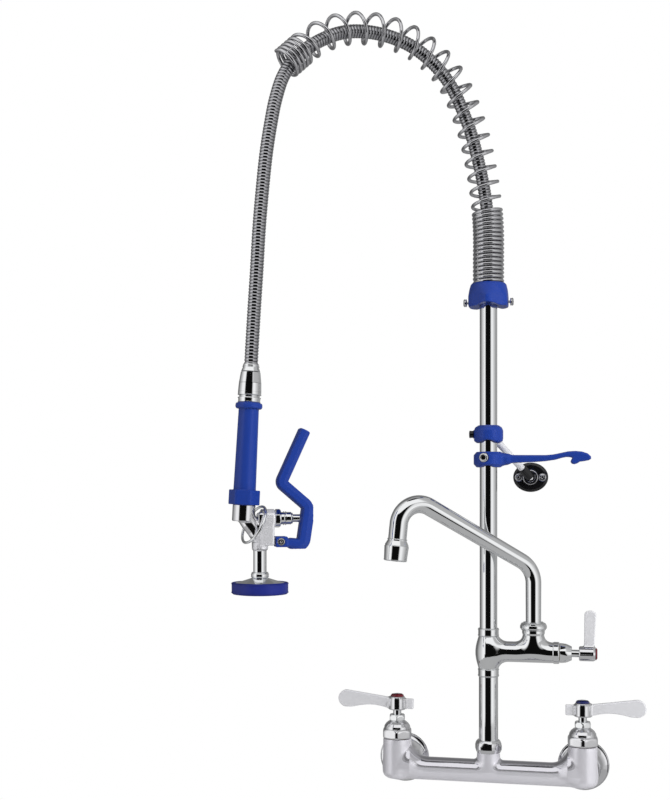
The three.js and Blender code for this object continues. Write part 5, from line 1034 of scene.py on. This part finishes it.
# ---- spray neck, face and bumper
# A plated neck leads to a shallow cone with the ring of jets, and a blue rubber bumper guards its rim.
neck = upright(NECK_X, plane=spray_plane)
turned(
    "neck_tube",
    [(4.1, -75.2), (8.1, -75.2, 0.5), (9, -73.9, 0.8), (9, -71.2, 0.8), (8.1, -69.9, 0.5), (6.8, -69.4, 0.4),
     (6.8, -46.7, 0.3), (4.1, -46.7)],
    neck, chrome, "spray_neck", body="spray")
face = [(0, -89.3), (25, -89.3, 0.4), (25.9, -88.4, 0.4), (25.9, -81, 0.5), (24.7, -80.1, 0.8)]
for k in range(1, 9):
    t = k / 8
    face.append((24.7 - 17.6 * t, -80.1 + 5.4 * (0.8 * t + 0.2 * t * t)))
face.append((0, -74.7))
turned("spray_cone", face, neck, chrome, "spray_face", body="spray")
rubber = finish("blue_rubber", (0.009, 0.018, 0.19), 0, 0.42, change=0.1, marks=0.15, mark_size=300,
                wave=0.2, bump=0.06)
turned(
    "rubber_bumper",
    [(24.1, -91.2, 0.3), (27.6, -91.2, 0.7), (28.8, -89.8, 0.6), (28.8, -80.9, 0.5), (28.2, -80.3, 0.4),
     (26.2, -80.3, 0.3), (26.2, -89.6), (24.1, -89.6)],
    neck, rubber, "spray_bumper", body="spray")
shader_of(rubber).inputs["Specular IOR Level"].default_value = 0.3

# ---- studio
# A white floor below the faucet and white paper all round. Only polished metal sees the flags: a round
# wall of light and dark cards, a pale ceiling with a dark patch in front, and grey cards below.
FLOOR_Z = -0.32  # clear of the faucet's lowest point
floor = shaped("studio_floor", [(x, y, FLOOR_Z) for x, y in ((-6, -6), (6, -6), (6, 6), (-6, 6))], [[0, 1, 2, 3]])
floor_white = bpy.data.materials.new("studio_white")
floor_white.use_nodes = True
tree = floor_white.node_tree
paper = tree.nodes["Principled BSDF"]
paper.inputs["Base Color"].default_value = (0.85, 0.85, 0.85, 1)
paper.inputs["Roughness"].default_value = 0.8


def paper_seen(tree):
    """One where the paper is seen directly, in metal or through something clear."""
    rays = add(tree, "ShaderNodeLightPath").outputs
    direct = maths(tree, "MAXIMUM", rays["Is Camera Ray"], rays["Is Glossy Ray"])
    return maths(tree, "MAXIMUM", direct, rays["Is Transmission Ray"])


glow = add(tree, "ShaderNodeEmission", {"Strength": 1.0})
mix = add(tree, "ShaderNodeMixShader", {0: paper_seen(tree), 1: paper.outputs[0], 2: glow.outputs[0]})
tree.links.new(mix.outputs[0], tree.nodes["Material Output"].inputs["Surface"])
floor.data.materials.append(floor_white)

world = bpy.data.worlds.new("studio_paper")
bpy.context.scene.world = world
world.use_nodes = True
tree = world.node_tree
shown = add(tree, "ShaderNodeMix", {0: paper_seen(tree)}, data_type="RGBA")
shown.inputs[6].default_value = (0.5, 0.5, 0.5, 1)
shown.inputs[7].default_value = (1, 1, 1, 1)
tree.links.new(shown.outputs[2], tree.nodes["Background"].inputs["Color"])


def flag(name, start, stop, bands):
    """A card between two circles of (radius, height) that only polished metal sees, and its brightness round them."""
    sides = 120
    angles = [radians(360 / sides * k) for k in range(sides)]
    rims = [(radius * sin(a), -radius * cos(a), height) for radius, height in (start, stop) for a in angles]
    after = [*range(1, sides), 0]
    card = shaped(name, rims, [[k, after[k], sides + after[k], sides + k] for k in range(sides)])
    paint = bpy.data.materials.new(name)
    paint.use_nodes = True
    tree = paint.node_tree
    where = add(tree, "ShaderNodeTexCoord").outputs["Object"]
    parts = add(tree, "ShaderNodeSeparateXYZ", {0: where}).outputs
    turn = maths(tree, "ARCTAN2", parts["X"], maths(tree, "MULTIPLY", parts["Y"], -1))
    share = maths(tree, "ADD", maths(tree, "DIVIDE", turn, 2 * pi), 0.5)
    ramp = add(tree, "ShaderNodeValToRGB", {0: share})
    stops = ramp.color_ramp.elements
    for angle, value in bands:  # degrees round from the camera's side
        stops.new(min(max(angle / 360 + 0.5, 0.0001), 0.9999)).color = (value, value, value, 1)
    stops.remove(stops[0])
    stops.remove(stops[-1])
    light = add(tree, "ShaderNodeEmission", {"Color": ramp.outputs[0], "Strength": 1.0})
    tree.links.new(light.outputs[0], tree.nodes["Material Output"].inputs["Surface"])
    card.data.materials.append(paint)
    card.visible_camera = card.visible_diffuse = card.visible_shadow = card.visible_volume_scatter = False


foot, chest, head, top = ((1.9, height) for height in (-0.3, 0.82, 1.25, 2.2))  # the rims of the round wall
left = [(-180, 0.3), (-150, 0.2), (-115, 0.13), (-95, 0.36), (-74, 0.65), (-58, 1.0), (-38, 1.0), (-30, 0.004)]
flag("card_wall_low", foot, chest, left + [
    (30, 0.004), (38, 0.8), (48, 1.0), (60, 0.95), (76, 0.7), (97, 0.5), (118, 0.32), (145, 0.4), (180, 0.3),
])
flag("card_wall_middle", chest, head, left + [
    (29, 0.004), (38, 0.7), (50, 0.5), (110, 0.45), (145, 0.35), (180, 0.3),
])
softbox = [
    (-180, 0.2), (-120, 0.15), (-85, 0.5), (-60, 1.0), (48, 1.0), (62, 0.5), (110, 0.45), (145, 0.25), (180, 0.2),
]
flag("card_wall_high", head, top, softbox)
inner_top, inner_foot = (0.67, 2.2), (0.95, -0.3)
flag("card_above_edge", top, inner_top, softbox)
dark_front = [(-180, 0.35), (-75, 0.35), (-60, 0.01), (60, 0.01), (75, 0.35), (180, 0.35)]
flag("card_above", inner_top, (0.01, 2.2), dark_front)
flag("card_below_edge", foot, inner_foot, [
    (-180, 0.3), (-115, 0.15), (-95, 0.36), (-74, 0.65), (-58, 1.0), (-44, 1.0), (-36, 0.004), (34, 0.004), (42, 0.55),
    (60, 0.6), (96, 0.55), (118, 0.34), (180, 0.3),
])
flag("card_below", inner_foot, (0.0, -0.3), [(-180, 0.4), (0, 0.44), (180, 0.4)])

for name, spot, watts in (("left_lamp", (-1.1, -1.2, 1.0), 4), ("right_lamp", (1.3, -1.0, 0.9), 27)):
    lamp = bpy.data.lights.new(name, "AREA")
    lamp.shape = "RECTANGLE"
    lamp.size = 0.5
    lamp.size_y = 1.4
    lamp.energy = watts
    holder = stand(name, lamp)
    holder.location = spot
    aim = Vector((-0.05, RISER_Y, 0.4)) - Vector(spot)
    holder.rotation_euler = aim.to_track_quat("-Z", "Y").to_euler()
    holder.visible_glossy = False
